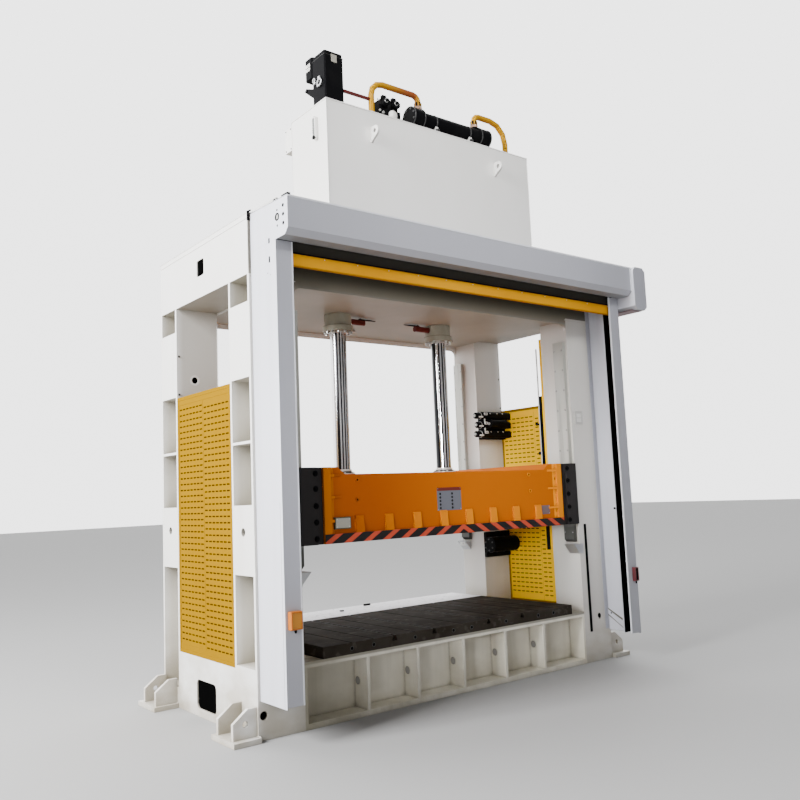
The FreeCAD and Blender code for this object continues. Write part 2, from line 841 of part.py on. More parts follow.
def gland_bolts(x):
    """Hexagon heads on a circle under the gland."""
    top = nose_low - gland_thickness
    heads = []
    for index in range(gland_bolt_count):
        angle = 2 * math.pi * index / gland_bolt_count
        cx = x + gland_bolt_circle * math.cos(angle)
        cy = gland_bolt_circle * math.sin(angle)
        heads.append(across_z(hexagon(cx, cy, gland_bolt_radius, angle), top - gland_bolt_height, top))
    return heads


def shut_off_valve():
    """Right valve: a block on the barrel nose that points at the centre, with a stem on top."""
    start = cylinder_x - barrel_nose_radius
    half = valve_body_size / 2
    top = crown_underside - valve_drop + half
    body = chamfered_box(start - valve_length, start, -half, half, top - valve_body_size, top,
                         valve_body_chamfer, (1, 0, 0))
    stem_x = start - valve_stem_place
    stem = cylinder(valve_stem_radius, (stem_x, 0, top), (stem_x, 0, top + valve_stem_height))
    return fused([body, stem])


def valve_lever():
    """Right lever: flat, pointed, turning about the valve's stem."""
    stem_x = cylinder_x - barrel_nose_radius - valve_stem_place
    low = crown_underside - valve_drop + valve_body_size / 2 + lever_seat_gap
    high = low + lever_thickness
    half = lever_width / 2
    blade = across_z([(stem_x + lever_heel, -half / 2), (stem_x + lever_heel, half / 2), (stem_x, half),
                      (stem_x - lever_shoulder, half), (stem_x - lever_length, 0),
                      (stem_x - lever_shoulder, -half), (stem_x, -half)], low, high)
    bore = valve_stem_radius + running_clearance
    return blade.cut(cylinder(bore, (stem_x, 0, low - overcut), (stem_x, 0, high + overcut)))


def build_cylinders():
    bolts = []
    flanges = []
    glands = []
    valves = []
    for side, x in (("left", -cylinder_x), ("right", cylinder_x)):
        left = side == "left"
        save("cylinder_barrel_" + side, cylinder_barrel(x))
        save("piston_rod_" + side, piston_rod(x))
        save("valve_lever_" + side, mirrored(valve_lever(), left, False))
        bolts.extend(gland_bolts(x))
        flanges.append(rod_flange(x))
        glands.append(gland(x))
        valves.append(mirrored(shut_off_valve(), left, False))
    save("gland_rings", Part.makeCompound(glands))
    save("shut_off_valves", Part.makeCompound(valves))
    save("gland_bolts", Part.makeCompound(bolts))
    save("rod_flanges", Part.makeCompound(flanges))


# ---------------------------------------------------------------- tank and what stands on it
def lifting_lug(x):
    """Ear plate that stands out of the tank's front, with an eye near its top."""
    eye_y = -tank_front - lug_reach
    eye_z = tank_top - lug_drop
    root_z = tank_top - lug_root_drop
    offset = math.hypot(lug_reach, eye_z - root_z)
    lean = math.atan2(lug_reach, eye_z - root_z)
    spread = math.asin(lug_radius / offset)
    reach = offset * math.cos(spread)
    tangent = (-tank_front - reach * math.sin(lean + spread), root_z + reach * math.cos(lean + spread))
    outline = [(-tank_front, root_z), tangent, (eye_y, eye_z), (eye_y, eye_z + lug_radius),
               (-tank_front, eye_z + lug_radius)]
    plate = across_x(outline, x - lug_thickness / 2, x + lug_thickness / 2)
    ear = cylinder(lug_radius, (x - lug_thickness / 2, eye_y, eye_z), (x + lug_thickness / 2, eye_y, eye_z))
    hole = cylinder(lug_hole_radius, (x - lug_thickness, eye_y, eye_z), (x + lug_thickness, eye_y, eye_z))
    return fused([plate, ear]).cut(hole)


def build_tank():
    outer = box(-tank_x, tank_x, -tank_front, -tank_rear, frame_height, tank_top)
    inner = box(-tank_x + tank_wall, tank_x - tank_wall, -tank_front + tank_wall, -tank_rear - tank_wall,
                frame_height + tank_wall, tank_top - tank_wall)
    tank = fused([outer, lifting_lug(-lug_spacing / 2), lifting_lug(lug_spacing / 2)])
    save("oil_tank", tank.cut(inner))

    z1 = tank_top - gauge_drop
    z0 = z1 - gauge_height
    half = gauge_width / 2
    face = -tank_x
    gauge_y = -tank_front + gauge_setback
    save("level_gauge", chamfered_box(face - gauge_depth, face, gauge_y - half, gauge_y + half,
                                      z0, z1, gauge_chamfer, (1, 0, 0)))

    top = tank_top - valve_box_top_drop
    save("tank_valve_box", box(-tank_x, -tank_x + valve_box_length, -tank_rear, -tank_rear + valve_box_depth,
                               top - valve_box_height, top))


def build_motor():
    half_x = motor_width / 2
    half_y = motor_depth / 2
    half_flange = motor_flange / 2
    body_low = tank_top + motor_flange_thickness
    body_high = tank_top + motor_height - motor_cap_height
    flange = box(motor_centre_x - half_flange, motor_centre_x + half_flange, motor_centre_y - half_flange,
                 motor_centre_y + half_flange, tank_top, body_low)
    x0 = motor_centre_x - half_x
    x1 = motor_centre_x + half_x
    y0 = motor_centre_y - half_y
    y1 = motor_centre_y + half_y
    body = chamfered_box(x0, x1, y0, y1, body_low, body_high, motor_chamfer, (0, 0, 1))
    inset = motor_cap_inset
    cap = chamfered_box(x0 + inset, x1 - inset, y0 + inset, y1 - inset, body_high, tank_top + motor_height,
                        motor_chamfer, (0, 0, 1))
    root_y = y1 - motor_chamfer - overcut
    eye = across_x([(root_y, tank_top + eye_root_low), (y1, tank_top + eye_root_low),
                    (y1 + eye_reach, tank_top + eye_tip_low), (y1 + eye_shoulder, tank_top + eye_tip_high),
                    (y1, tank_top + eye_root_high), (root_y, tank_top + eye_root_high)],
                   x0, x0 + eye_thickness)
    hole_y = y1 + eye_hole_reach
    hole_z = tank_top + eye_hole_height
    hole = cylinder(eye_hole_radius, (x0 - overcut, hole_y, hole_z),
                    (x0 + eye_thickness + overcut, hole_y, hole_z))
    save("pump_motor", fused([flange, body, cap, eye]).cut(hole))

    low = tank_top + connector_low
    connector = chamfered_box(x0, x0 + connector_width, y1, y1 + connector_depth, low,
                              low + connector_height, connector_chamfer, (0, 0, 1))
    save("motor_connector_box", connector)


def build_pipes():
    start_x = motor_centre_x + motor_width / 2
    z = tank_top + supply_pipe_height
    supply = cylinder(supply_pipe_radius, (start_x, pipe_line_y, z), (return_pipe_x, pipe_line_y, z))
    seat = cylinder(pipe_radius + running_clearance, (return_pipe_x, pipe_line_y, tank_top),
                    (return_pipe_x, pipe_line_y, tank_top + return_pipe_height))
    save("supply_pipe", supply.cut(seat))

    port_top = tank_top + cooler_port_height
    top = tank_top + return_pipe_height
    corners = [(return_pipe_x, pipe_line_y, tank_top), (return_pipe_x, pipe_line_y, top),
               (return_pipe_drop_x, pipe_line_y, top), (return_pipe_drop_x, pipe_line_y, port_top)]
    pipe = bent_pipe(pipe_radius, corners, [return_pipe_bend, pipe_small_bend])
    nuts = [across_z(hexagon(x, pipe_line_y, pipe_nut_radius), base, base + pipe_nut_height)
            for x, base in ((return_pipe_x, tank_top), (return_pipe_drop_x, port_top))]
    save("return_pipe", fused([pipe] + nuts))

    top = tank_top + pressure_pipe_height
    corners = [(pressure_pipe_x, pipe_line_y, port_top), (pressure_pipe_x, pipe_line_y, top),
               (pressure_pipe_end_x, pipe_line_y, top), (pressure_pipe_end_x, pipe_line_y, tank_top)]
    pipe = bent_pipe(pipe_radius, corners, [pipe_small_bend, pressure_pipe_large_bend])
    nuts = [across_z(hexagon(x, pipe_line_y, pipe_nut_radius), base, base + pipe_nut_height)
            for x, base in ((pressure_pipe_end_x, tank_top), (pressure_pipe_x, port_top))]
    save("pressure_pipe", fused([pipe] + nuts))


def build_cooler():
    z = tank_top + cooler_height
    pieces = [cylinder(cooler_radius, (cooler_left, pipe_line_y, z), (cooler_right, pipe_line_y, z))]
    for x0 in (cooler_left, cooler_right - cooler_head_length):
        x1 = x0 + cooler_head_length
        pieces.append(cylinder(cooler_head_radius, (x0, pipe_line_y, z), (x1, pipe_line_y, z)))
    port_top = tank_top + cooler_port_height
    for x in (return_pipe_drop_x, pressure_pipe_x):
        pieces.append(across_z(hexagon(x, pipe_line_y, cooler_port_radius), z, port_top))
    save("oil_cooler", fused(pieces))

    saddles = []
    seat = cooler_radius + running_clearance
    for x in saddle_places:
        x0 = x - saddle_width / 2
        x1 = x + saddle_width / 2
        cradle = box(x0, x1, pipe_line_y - saddle_foot, pipe_line_y + saddle_foot,
                     tank_top, z - cooler_radius / 2)
        drum_space = cylinder(seat, (x0 - overcut, pipe_line_y, z), (x1 + overcut, pipe_line_y, z))
        saddles.append(cradle.cut(drum_space))
    save("cooler_saddles", Part.makeCompound(saddles))

    y0 = pipe_line_y - manifold_depth / 2
    y1 = pipe_line_y + manifold_depth / 2
    block_top = tank_top + manifold_height
    pieces = [box(manifold_left, manifold_right, y0, y1, tank_top, block_top)]
    coil_z = block_top + solenoid_height / 2
    half = solenoid_width / 2
    half_coil = solenoid_coil_width / 2
    middle = (manifold_left + manifold_right) / 2
    for index in range(solenoid_count):
        x = middle + (index - (solenoid_count - 1) / 2) * solenoid_pitch
        pieces.append(box(x - half, x + half, y0, y1, block_top, block_top + solenoid_height))
        coil_front = y0 - solenoid_coil_length
        pieces.append(chamfered_box(x - half_coil, x + half_coil, coil_front, y0, coil_z - half_coil,
                                    coil_z + half_coil, solenoid_coil_chamfer, (0, 1, 0)))
    save("valve_manifold", fused(pieces))


# ---------------------------------------------------------------- roller shutter
def shutter_post():
    """Right post: folded side plate, guide channel for the curtain and a foot brace."""
    y_front = -post_front
    slot_front = y_front + guide_front_wall
    slot_rear = slot_front + guide_slot
    inner_side = post_side_x - post_sheet
    channel_rear = slot_rear + guide_rear_wall
    pieces = [box(inner_side, post_side_x, y_front, -frame_y, post_low - post_side_lip, header_low),
              box(guide_mouth_x, inner_side, y_front, slot_front, post_low, header_low),
              box(guide_mouth_x, inner_side, slot_rear, channel_rear, post_low, header_low),
              box(inner_side - post_flange, inner_side, -frame_y - post_sheet, -frame_y,
                  post_low, header_low)]
    brace_run = -frame_y - channel_rear
    brace = [(channel_rear, post_low), (channel_rear + brace_width, post_low),
             (-frame_y - post_sheet, post_low + brace_rise * (1 - brace_width / brace_run)),
             (-frame_y - post_sheet, post_low + brace_rise), (channel_rear, post_low + brace_width / 2)]
    pieces.append(across_x(brace, inner_side - 2 * post_sheet, inner_side))
    return fused(pieces)


def header_outline():
    """Section of the header cover as (y, z), from its rear flange over the top to the curtain slit."""
    return [(-frame_y, header_top_rear - header_back_flange), (-frame_y, header_top_rear),
            (-header_front, header_top_front), (-header_front, header_low + header_chamfer_height),
            (-header_front + header_chamfer_depth, header_low), (-header_under_rear, header_low)]


def build_header():
    inner_side = post_side_x - post_sheet
    section = sheet_strip(header_outline(), post_sheet)
    save("shutter_header", across_x(section, -inner_side, inner_side))

    outline = [(-frame_y, header_low)] + header_outline()[1:-1]
    hole = cylinder(roll_shaft_radius + running_clearance, (inner_side - overcut, -roll_y, roll_height),
                    (post_side_x + overcut, -roll_y, roll_height))
    plate = across_x(outline, inner_side, post_side_x).cut(hole)
    save("header_end_right", plate)
    save("header_end_left", mirrored(plate, True, False))

    motor = chamfered_box(post_side_x, post_side_x + shutter_motor_width, -shutter_motor_front,
                          -shutter_motor_rear, shutter_motor_low, shutter_motor_high,
                          shutter_motor_chamfer, (0, 1, 0))
    save("shutter_motor_box", motor)


def build_curtain():
    tip = post_side_x - post_sheet - shutter_side_gap
    y0 = -curtain_y - bar_thickness / 2
    y1 = -curtain_y + bar_thickness / 2
    bar_top = bar_low + bar_height
    block = box(-tip, tip, y0, y1, bar_low, bar_top)
    low_edges = [edge for edge in block.Edges
                 if edge.BoundBox.ZMax < bar_low + 1 and edge.BoundBox.XLength > tip]
    save("shutter_bottom_bar", block.makeFillet(bar_round, low_edges))

    half_sheet = curtain_thickness / 2
    sheet = box(-tip, tip, -curtain_y - half_sheet, -curtain_y + half_sheet, bar_top, roll_height)
    save("shutter_curtain", sheet)

    roll_end = post_side_x - post_sheet - roll_end_gap
    shaft_end = post_side_x - roll_gap
    profile = [(0, -shaft_end), (roll_shaft_radius, -shaft_end), (roll_shaft_radius, -roll_end),
               (roll_radius, -roll_end), (roll_radius, roll_end), (roll_shaft_radius, roll_end),
               (roll_shaft_radius, shaft_end), (0, shaft_end)]
    roll = turned(profile, (0, -roll_y, roll_height), (1, 0, 0))
    save("shutter_roll", roll)


def build_shutter():
    save("shutter_post_right", shutter_post())
    save("shutter_post_left", mirrored(shutter_post(), True, False))
    build_header()
    build_curtain()
    left = chamfered_box(-left_sensor_outer, -left_sensor_outer + left_sensor_width,
                         -post_front - left_sensor_depth, -post_front,
                         sensor_low, sensor_low + sensor_height, sensor_chamfer, (1, 0, 0))
    right = chamfered_box(right_sensor_inner, right_sensor_inner + right_sensor_width,
                          -post_front - right_sensor_depth, -post_front, right_sensor_low,
                          right_sensor_low + right_sensor_height, sensor_chamfer, (1, 0, 0))
    save("light_sensors", Part.makeCompound([left, right]))


# ---------------------------------------------------------------- fittings on the columns
def build_fittings():
    save("encoder_strip", box(encoder_x - encoder_width / 2, encoder_x + encoder_width / 2,
                              -frame_y - encoder_depth, -frame_y, encoder_low, encoder_high))
    save("switch_plate", box(switch_plate_x, switch_plate_x + switch_plate_width,
                             -frame_y - switch_plate_depth, -frame_y,
                             switch_plate_low, switch_plate_low + switch_plate_height))

    face = -column_inner_y
    rail = box(limit_rail_x, limit_rail_x + limit_rail_width, face, face + limit_rail_depth,
               limit_rail_low, limit_rail_high)
    rail_foot = box(limit_rail_x, limit_rail_x + limit_rail_foot, face, face + limit_rail_depth,
                    limit_rail_low, limit_rail_low + limit_rail_width)
    switches = []
    centre_x = limit_rail_x + limit_rail_width / 2
    y0 = face + limit_rail_depth
    y1 = y0 + limit_switch_height
    for z in limit_switch_heights:
        switches.append(cylinder(limit_switch_radius, (centre_x, y0, z), (centre_x, y1, z)))
    save("limit_switch_rail", Part.makeCompound([fused([rail, rail_foot])] + switches))

    y1 = column_inner_y
    block_high = valve_block_low + valve_block_height
    back = box(opening_x, fitting_right, y1 - valve_block_back, y1, valve_block_low, block_high)
    blocks = [back]
    for index in range(valve_sections):
        middle = valve_block_low + (index + 0.5) * valve_block_height / valve_sections
        z0 = middle - valve_section_height / 2
        blocks.append(chamfered_box(valve_block_left, fitting_right, y1 - valve_block_depth,
                                    y1 - valve_block_back, z0, z0 + valve_section_height,
                                    valve_section_chamfer, (1, 0, 0)))
    save("column_valve_block", fused(blocks))

    lock_high = lock_low + lock_height
    plate = box(opening_x, fitting_right, y1 - lock_back, y1, lock_low, lock_high)
    centre_z = (lock_low + lock_high) / 2
    centre_y = y1 - lock_depth + lock_radius
    barrel = cylinder(lock_radius, (lock_left, centre_y, centre_z), (fitting_right, centre_y, centre_z))
    bridge = box(opening_x, fitting_right, centre_y, y1 - lock_back + overcut,
                 centre_z - lock_radius, centre_z + lock_radius)
    save("lock_cylinder", fused([plate, barrel, bridge]))


build_columns()
build_crown()
build_bed()
build_feet()
build_bolster()
build_rails_and_trays()
save("side_guard_right", side_guard())
save("side_guard_left", mirrored(side_guard(), True, False))
build_slide()
build_gibs()
build_cylinders()
build_tank()
build_motor()
build_pipes()
build_cooler()
build_shutter()
build_fittings()
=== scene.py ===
"""Looks for the hydraulic press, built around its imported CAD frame.

All sizes are metres. X runs along the press from left to right, Y from its front to its rear and Z up,
as in the CAD.
"""
import fnmatch
import math

import bmesh
import bpy
from mathutils import Matrix, Vector


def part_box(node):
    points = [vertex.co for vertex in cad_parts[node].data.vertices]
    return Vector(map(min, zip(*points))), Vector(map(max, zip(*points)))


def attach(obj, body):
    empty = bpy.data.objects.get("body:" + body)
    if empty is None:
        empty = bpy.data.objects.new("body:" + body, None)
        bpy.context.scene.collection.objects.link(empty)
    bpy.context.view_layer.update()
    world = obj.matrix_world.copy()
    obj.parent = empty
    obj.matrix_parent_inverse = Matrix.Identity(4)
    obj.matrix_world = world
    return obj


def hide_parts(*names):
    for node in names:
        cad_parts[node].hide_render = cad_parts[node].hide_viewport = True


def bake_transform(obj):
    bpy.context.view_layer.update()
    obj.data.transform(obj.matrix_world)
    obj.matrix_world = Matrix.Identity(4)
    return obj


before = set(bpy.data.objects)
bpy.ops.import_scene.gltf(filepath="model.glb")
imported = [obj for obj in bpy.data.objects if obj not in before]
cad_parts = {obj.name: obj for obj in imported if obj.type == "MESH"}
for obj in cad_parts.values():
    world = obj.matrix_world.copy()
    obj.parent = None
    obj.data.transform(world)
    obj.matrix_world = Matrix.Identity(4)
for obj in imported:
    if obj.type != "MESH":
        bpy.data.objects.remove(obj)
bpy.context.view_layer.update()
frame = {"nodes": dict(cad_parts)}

SIDES = (-1, 1)
LEFT, RIGHT = (-1, 0, 0), (1, 0, 0)
FORWARD = (0, -1, 0)
REARWARD = (0, 1, 0)
UP = (0, 0, 1)

FRAME_X = 1.885
FRAME_Y = 0.816
COLUMN_INNER_Y = 0.486
SKIN = 0.001


# ---------------------------------------------------------------- materials
# Scales of a pattern's coordinates along X, Y and Z: a small one draws the pattern out along that axis.
EVEN = (1, 1, 1)
UPRIGHT = (1, 1, 0.5)
CLOUDS = (1, 1, 0.6)
RUNS = (1, 1, 0.06)
PATCHES = (1, 1, 1.6)
GROUND = (1, 0.5, 0.004)

# Values at which a factor leaves 0 and at which it reaches 1.
FACING_SHADE_EDGES = (-0.35, -0.9)
CORNER_SHADE_EDGES = (0.75, 0.25)
GRIME_EDGES = (0.42, 0.75)
STREAK_EDGES = (0.52, 0.72)
SPECK_EDGES = (0.6, 0.68)
FLOOR_SHADE_EDGES = (0.3, 0.6)
REFLECTION_LINE_EDGES = (0.42, 0.58)

FLOOR_SHADE_SCALE = 3.5
REFLECTION_LINE_WAVE = {"Distortion": 2.5, "Detail": 3.0, "Detail Scale": 2.0}
PEEL_DEPTH = 0.002
SHADER_SAMPLES = 4


def add_node(tree, kind, output, inputs=(), **settings):
    """Makes a shader node, links or sets its inputs, and gives one of its outputs."""
    node = tree.nodes.new("ShaderNode" + kind)
    for name, value in settings.items():
        setattr(node, name, value)
    for socket, value in dict(inputs).items():
        if isinstance(value, bpy.types.NodeSocket):
            tree.links.new(value, node.inputs[socket])
        else:
            node.inputs[socket].default_value = value
    return node.outputs[output]


def map_range(tree, value, low, high, kind="LINEAR"):
    """Turns a value into a factor that goes from 0 at low to 1 at high."""
    return add_node(tree, "MapRange", "Result", {"From Min": low, "From Max": high, "Value": value},
                    interpolation_type=kind)


def along_axis(tree, vector, axis):
    return add_node(tree, "SeparateXYZ", axis, {"Vector": vector})


def product(tree, first, second):
    return add_node(tree, "Math", "Value", {0: first, 1: second}, operation="MULTIPLY")


def noise_factor(tree, place, scale, edges, stretch=EVEN, detail=5.0):
    mapped = add_node(tree, "Mapping", "Vector", {"Scale": stretch, "Vector": place})
    noise = add_node(tree, "TexNoise", "Fac", {"Scale": scale, "Detail": detail, "Vector": mapped})
    return map_range(tree, noise, *edges)


def facing_shade_factor(tree, axis):
    """Mask of painted shade: 1 on faces that look back along an axis, down along Z, forward along Y; 0 on the
    others.
    """
    normal = add_node(tree, "NewGeometry", "True Normal")
    return map_range(tree, along_axis(tree, normal, axis), *FACING_SHADE_EDGES)


def place_factor(tree, place, axis, full, none):
    """1 beyond the place full along an axis, fading to 0 at the place none."""
    return map_range(tree, along_axis(tree, place, axis), none, full, "SMOOTHSTEP")


def corner_shade_factor(tree, reach):
    """Mask of painted shade and grime: 1 deep in corners and seams, 0 in the open."""
    openness = add_node(tree, "AmbientOcclusion", "AO", {"Distance": reach}, samples=SHADER_SAMPLES)
    return map_range(tree, openness, *CORNER_SHADE_EDGES)


def reflection_line_factor(tree, place, scale):
    """Painted reflection streaks: upright lines, a little uneven, at equal steps across X: 1 on a line, 0
    between.
    """
    mapped = add_node(tree, "Mapping", "Vector", {"Scale": GROUND, "Vector": place})
    wave = add_node(tree, "TexWave", "Fac", {"Scale": scale, "Vector": mapped, **REFLECTION_LINE_WAVE},
                    bands_direction="X")
    return map_range(tree, wave, *REFLECTION_LINE_EDGES)


def finish_of(name, colour, roughness=0.45, metallic=0.0, gloss=0.5, coat=0.0, grime=None, streaks=None,
              speck=None, corner=None, shade_below=None, floor_dust_and_shade=None, shade_forward=None, lines=None, zones=(),
              peel=0.04, peel_scale=160.0, edge=0.004):
    """A painted or bare finish: a base colour with grime, marks, painted shade and painted reflections on it,
    fine unevenness and eased edges.

    grime is (tint, amount, scale, stretch), streaks, lines and speck (tint, amount, scale), where lines are
    painted reflections, corner (tint, amount, reach) is painted shade and grime in corners, shade_below and
    shade_forward (tint, amount) are painted shade on faces that look down and forward, floor_dust_and_shade
    (tint, amount, full height, none height) is dust with painted shade towards the floor. zones are stretches
    of another colour: (tint, amount, limits), where each limit (axis, full, none) fades the tint out along an
    axis.
    """
    material = bpy.data.materials.new(name)
    material.use_nodes = True
    tree = material.node_tree
    shader = tree.nodes["Principled BSDF"]
    base = (*colour, 1)
    for socket, value in (("Base Color", base), ("Roughness", roughness), ("Metallic", metallic),
                          ("Specular IOR Level", gloss), ("Coat Weight", coat)):
        shader.inputs[socket].default_value = value
    place = add_node(tree, "TexCoord", "Object")
    layers = []

    def lay(tint, amount, factor):
        layers.append((tint, product(tree, factor, amount)))

    # Painted shade on faces that look down and forward.
    for axis, facing in (("Z", shade_below), ("Y", shade_forward)):
        if facing:
            lay(*facing, facing_shade_factor(tree, axis))
    if grime:
        tint, amount, scale, stretch = grime
        lay(tint, amount, noise_factor(tree, place, scale, GRIME_EDGES, stretch))
    if streaks:
        tint, amount, scale = streaks
        lay(tint, amount, noise_factor(tree, place, scale, STREAK_EDGES, RUNS, 3.0))
    # Painted reflections: dark upright streaks.
    if lines:
        tint, amount, scale = lines
        lay(tint, amount, reflection_line_factor(tree, place, scale))
    # Darker in patches towards the floor: dust, with painted shade of the dimmer light low down.
    if floor_dust_and_shade:
        tint, amount, full, none = floor_dust_and_shade
        patches = noise_factor(tree, place, FLOOR_SHADE_SCALE, FLOOR_SHADE_EDGES, PATCHES)
        lay(tint, amount, product(tree, place_factor(tree, place, "Z", full, none), patches))
    for tint, strength, limits in zones:
        for limit in limits:
            strength = product(tree, place_factor(tree, place, *limit), strength)
        layers.append((tint, strength))
    if speck:
        tint, amount, scale = speck
        lay(tint, amount, noise_factor(tree, place, scale, SPECK_EDGES, detail=2.0))
    # Painted shade and grime in corners and seams, from ambient occlusion.
    if corner:
        tint, amount, reach = corner
        lay(tint, amount, corner_shade_factor(tree, reach))
    for tint, factor in layers:
        base = add_node(tree, "MixRGB", "Color", {"Fac": factor, "Color1": base, "Color2": (*tint, 1)})
    if layers:
        tree.links.new(base, shader.inputs["Base Color"])
    uneven = add_node(tree, "TexNoise", "Fac", {"Scale": peel_scale, "Vector": place})
    relief = {"Strength": peel, "Distance": PEEL_DEPTH, "Height": uneven}
    if edge:
        relief["Normal"] = add_node(tree, "Bevel", "Normal", {"Radius": edge}, samples=SHADER_SAMPLES)
    tree.links.new(add_node(tree, "Bump", "Normal", relief), shader.inputs["Normal"])
    return material


# Painted shade in the finishes below: tints on faces that look down or forward, in corners and towards the
# floor.
FLOOR_DUST_AND_SHADE = (0.42, 0.37, 0.29)
SHADE_BROWN = (0.20, 0.165, 0.12)
CREAM_COLOUR = (0.80, 0.79, 0.765)
CREAM_GRIME = ((0.60, 0.57, 0.50), 0.25, 1.6, UPRIGHT)
CREAM_WEAR_AND_SHADE = {"grime": CREAM_GRIME, "streaks": ((0.55, 0.51, 0.43), 0.18, 7.0), "shade_below": (SHADE_BROWN, 0.8),
              "floor_dust_and_shade": (FLOOR_DUST_AND_SHADE, 0.85, 0.0, 0.8), "corner": ((0.26, 0.235, 0.18), 0.85, 0.27)}
SLIDE_FRONT = ("Y", -0.78, -0.70)
SLIDE_RIB_FACES = ("Y", -0.8035, -0.8015)
HEADER_SHADE = ("Y", -0.815, -0.804)

CREAM = finish_of("cream_paint", CREAM_COLOUR, 0.42, **CREAM_WEAR_AND_SHADE)
# Both columns are a darker cream inward of their outer faces: dirtier paint, with painted shade on the fronts
# and pocket backs that the light reaches less.
COLUMN_LEFT = finish_of("column_paint_left", CREAM_COLOUR, 0.42, **CREAM_WEAR_AND_SHADE,
                        zones=(((0.50, 0.47, 0.40), 0.5, (("X", -1.82, -1.87),)),))
COLUMN_RIGHT = finish_of("column_paint_right", CREAM_COLOUR, 0.42, **CREAM_WEAR_AND_SHADE,
                         zones=(((0.56, 0.53, 0.475), 0.5, (("X", 1.80, 1.87),)),))
# The crown's front below the shutter header is darkest at the top and lighter downwards: a painted shadow of
# the header.
CROWN_CREAM = finish_of("crown_paint", CREAM_COLOUR, 0.42, grime=CREAM_GRIME,
                        shade_below=((0.185, 0.165, 0.108), 0.87), corner=((0.34, 0.31, 0.25), 0.6, 0.08),
                        zones=(((0.40, 0.375, 0.31), 0.9, (HEADER_SHADE, ("Z", 3.22, 3.12))),
                               ((0.30, 0.28, 0.22), 0.8, (HEADER_SHADE, ("Z", 3.30, 2.95))),
                               ((0.060, 0.054, 0.036), 0.97, (HEADER_SHADE, ("Z", 3.34, 3.12)))))
# On the bed, the top flange's front gets a painted shadow below the bolster's edge, and the bed darkens
# towards its left end: painted shade beside the left post.
BED_CREAM = finish_of("bed_paint", (0.90, 0.86, 0.745), 0.46,
                      grime=((0.56, 0.52, 0.42), 0.5, 2.2, CLOUDS),
                      streaks=((0.44, 0.40, 0.31), 0.35, 8.0), shade_below=(SHADE_BROWN, 0.8),
                      floor_dust_and_shade=((0.46, 0.42, 0.32), 0.5, 0.0, 0.5), corner=((0.20, 0.175, 0.12), 0.8, 0.05),
                      zones=(((0.20, 0.185, 0.145), 0.85, (("Z", 0.452, 0.440), ("Y", -0.70, -0.66))),
                             ((0.26, 0.235, 0.165), 0.85, (("X", -1.70, -0.60),))))
TANK_CREAM = finish_of("tank_paint", CREAM_COLOUR, 0.38, grime=((0.62, 0.59, 0.53), 0.2, 1.2, CLOUDS),
                       shade_below=(SHADE_BROWN, 0.6), corner=((0.35, 0.32, 0.26), 0.6, 0.03))
# The lilac coat is darker on faces that look down and forward and in corners: painted shade.
LILAC = finish_of("lilac_coat", (0.62, 0.63, 0.69), 0.35, grime=((0.46, 0.46, 0.50), 0.25, 1.5, (1, 1, 0.4)),
                  streaks=((0.42, 0.42, 0.47), 0.2, 9.0), shade_below=((0.16, 0.165, 0.16), 0.85),
                  shade_forward=((0.35, 0.355, 0.40), 0.85), corner=((0.2, 0.19, 0.2), 0.7, 0.03))
LILAC_EDGE = finish_of("lilac_edge", (0.74, 0.75, 0.80), 0.35)
YELLOW = finish_of("guard_yellow", (0.245, 0.129, 0.0), 0.8, gloss=0.0,
                   grime=((0.225, 0.110, 0.0), 0.4, 3.0, CLOUDS), edge=0)
# A lighter copy of the guard yellow for faces that get less light: painted light.
YELLOW_BRIGHTENED_FOR_SHADE = finish_of("inner_yellow_brightened", (0.95, 0.56, 0.0), 0.7, gloss=0.02,
                          grime=((0.66, 0.36, 0.0), 0.4, 3.0, CLOUDS), edge=0)
SLOT_SHADOW = finish_of("guard_slot_shadow", (0.045, 0.020, 0.0), 0.9, gloss=0.05, edge=0)
# The slide's front is darker towards the left: painted shade. It has lighter bands at both ends of its front,
# and its rib faces are lighter towards the right.
ORANGE = finish_of("slide_orange", (0.51, 0.122, 0.0), 0.55, gloss=0.08,
                   grime=((0.42, 0.08, 0.001), 0.45, 0.9, EVEN),
                   zones=(((0.29, 0.052, 0.001), 0.80, (("X", -1.0, 0.35), SLIDE_FRONT)),
                          ((0.70, 0.21, 0.001), 0.5, (("X", -1.215, -1.205), SLIDE_FRONT)),
                          ((0.90, 0.34, 0.001), 0.95, (("X", 1.215, 1.205), SLIDE_FRONT)),
                          ((0.74, 0.225, 0.0), 0.95, (("X", 0.1, -1.3), SLIDE_RIB_FACES))),
                   shade_below=((0.14, 0.035, 0.002), 0.85), corner=((0.22, 0.05, 0.002), 0.7, 0.04))
STRIPE_BLACK = finish_of("stripe_black", (0.010, 0.008, 0.008), 0.5, gloss=0.25, edge=0)
STRIPE_RED = finish_of("stripe_red", (0.50, 0.06, 0.025), 0.45, gloss=0.3, edge=0)
CHARCOAL = finish_of("gib_charcoal", (0.021, 0.0185, 0.0185), 0.55, gloss=0.15,
                     grime=((0.035, 0.03, 0.03), 0.5, 4.0, UPRIGHT))
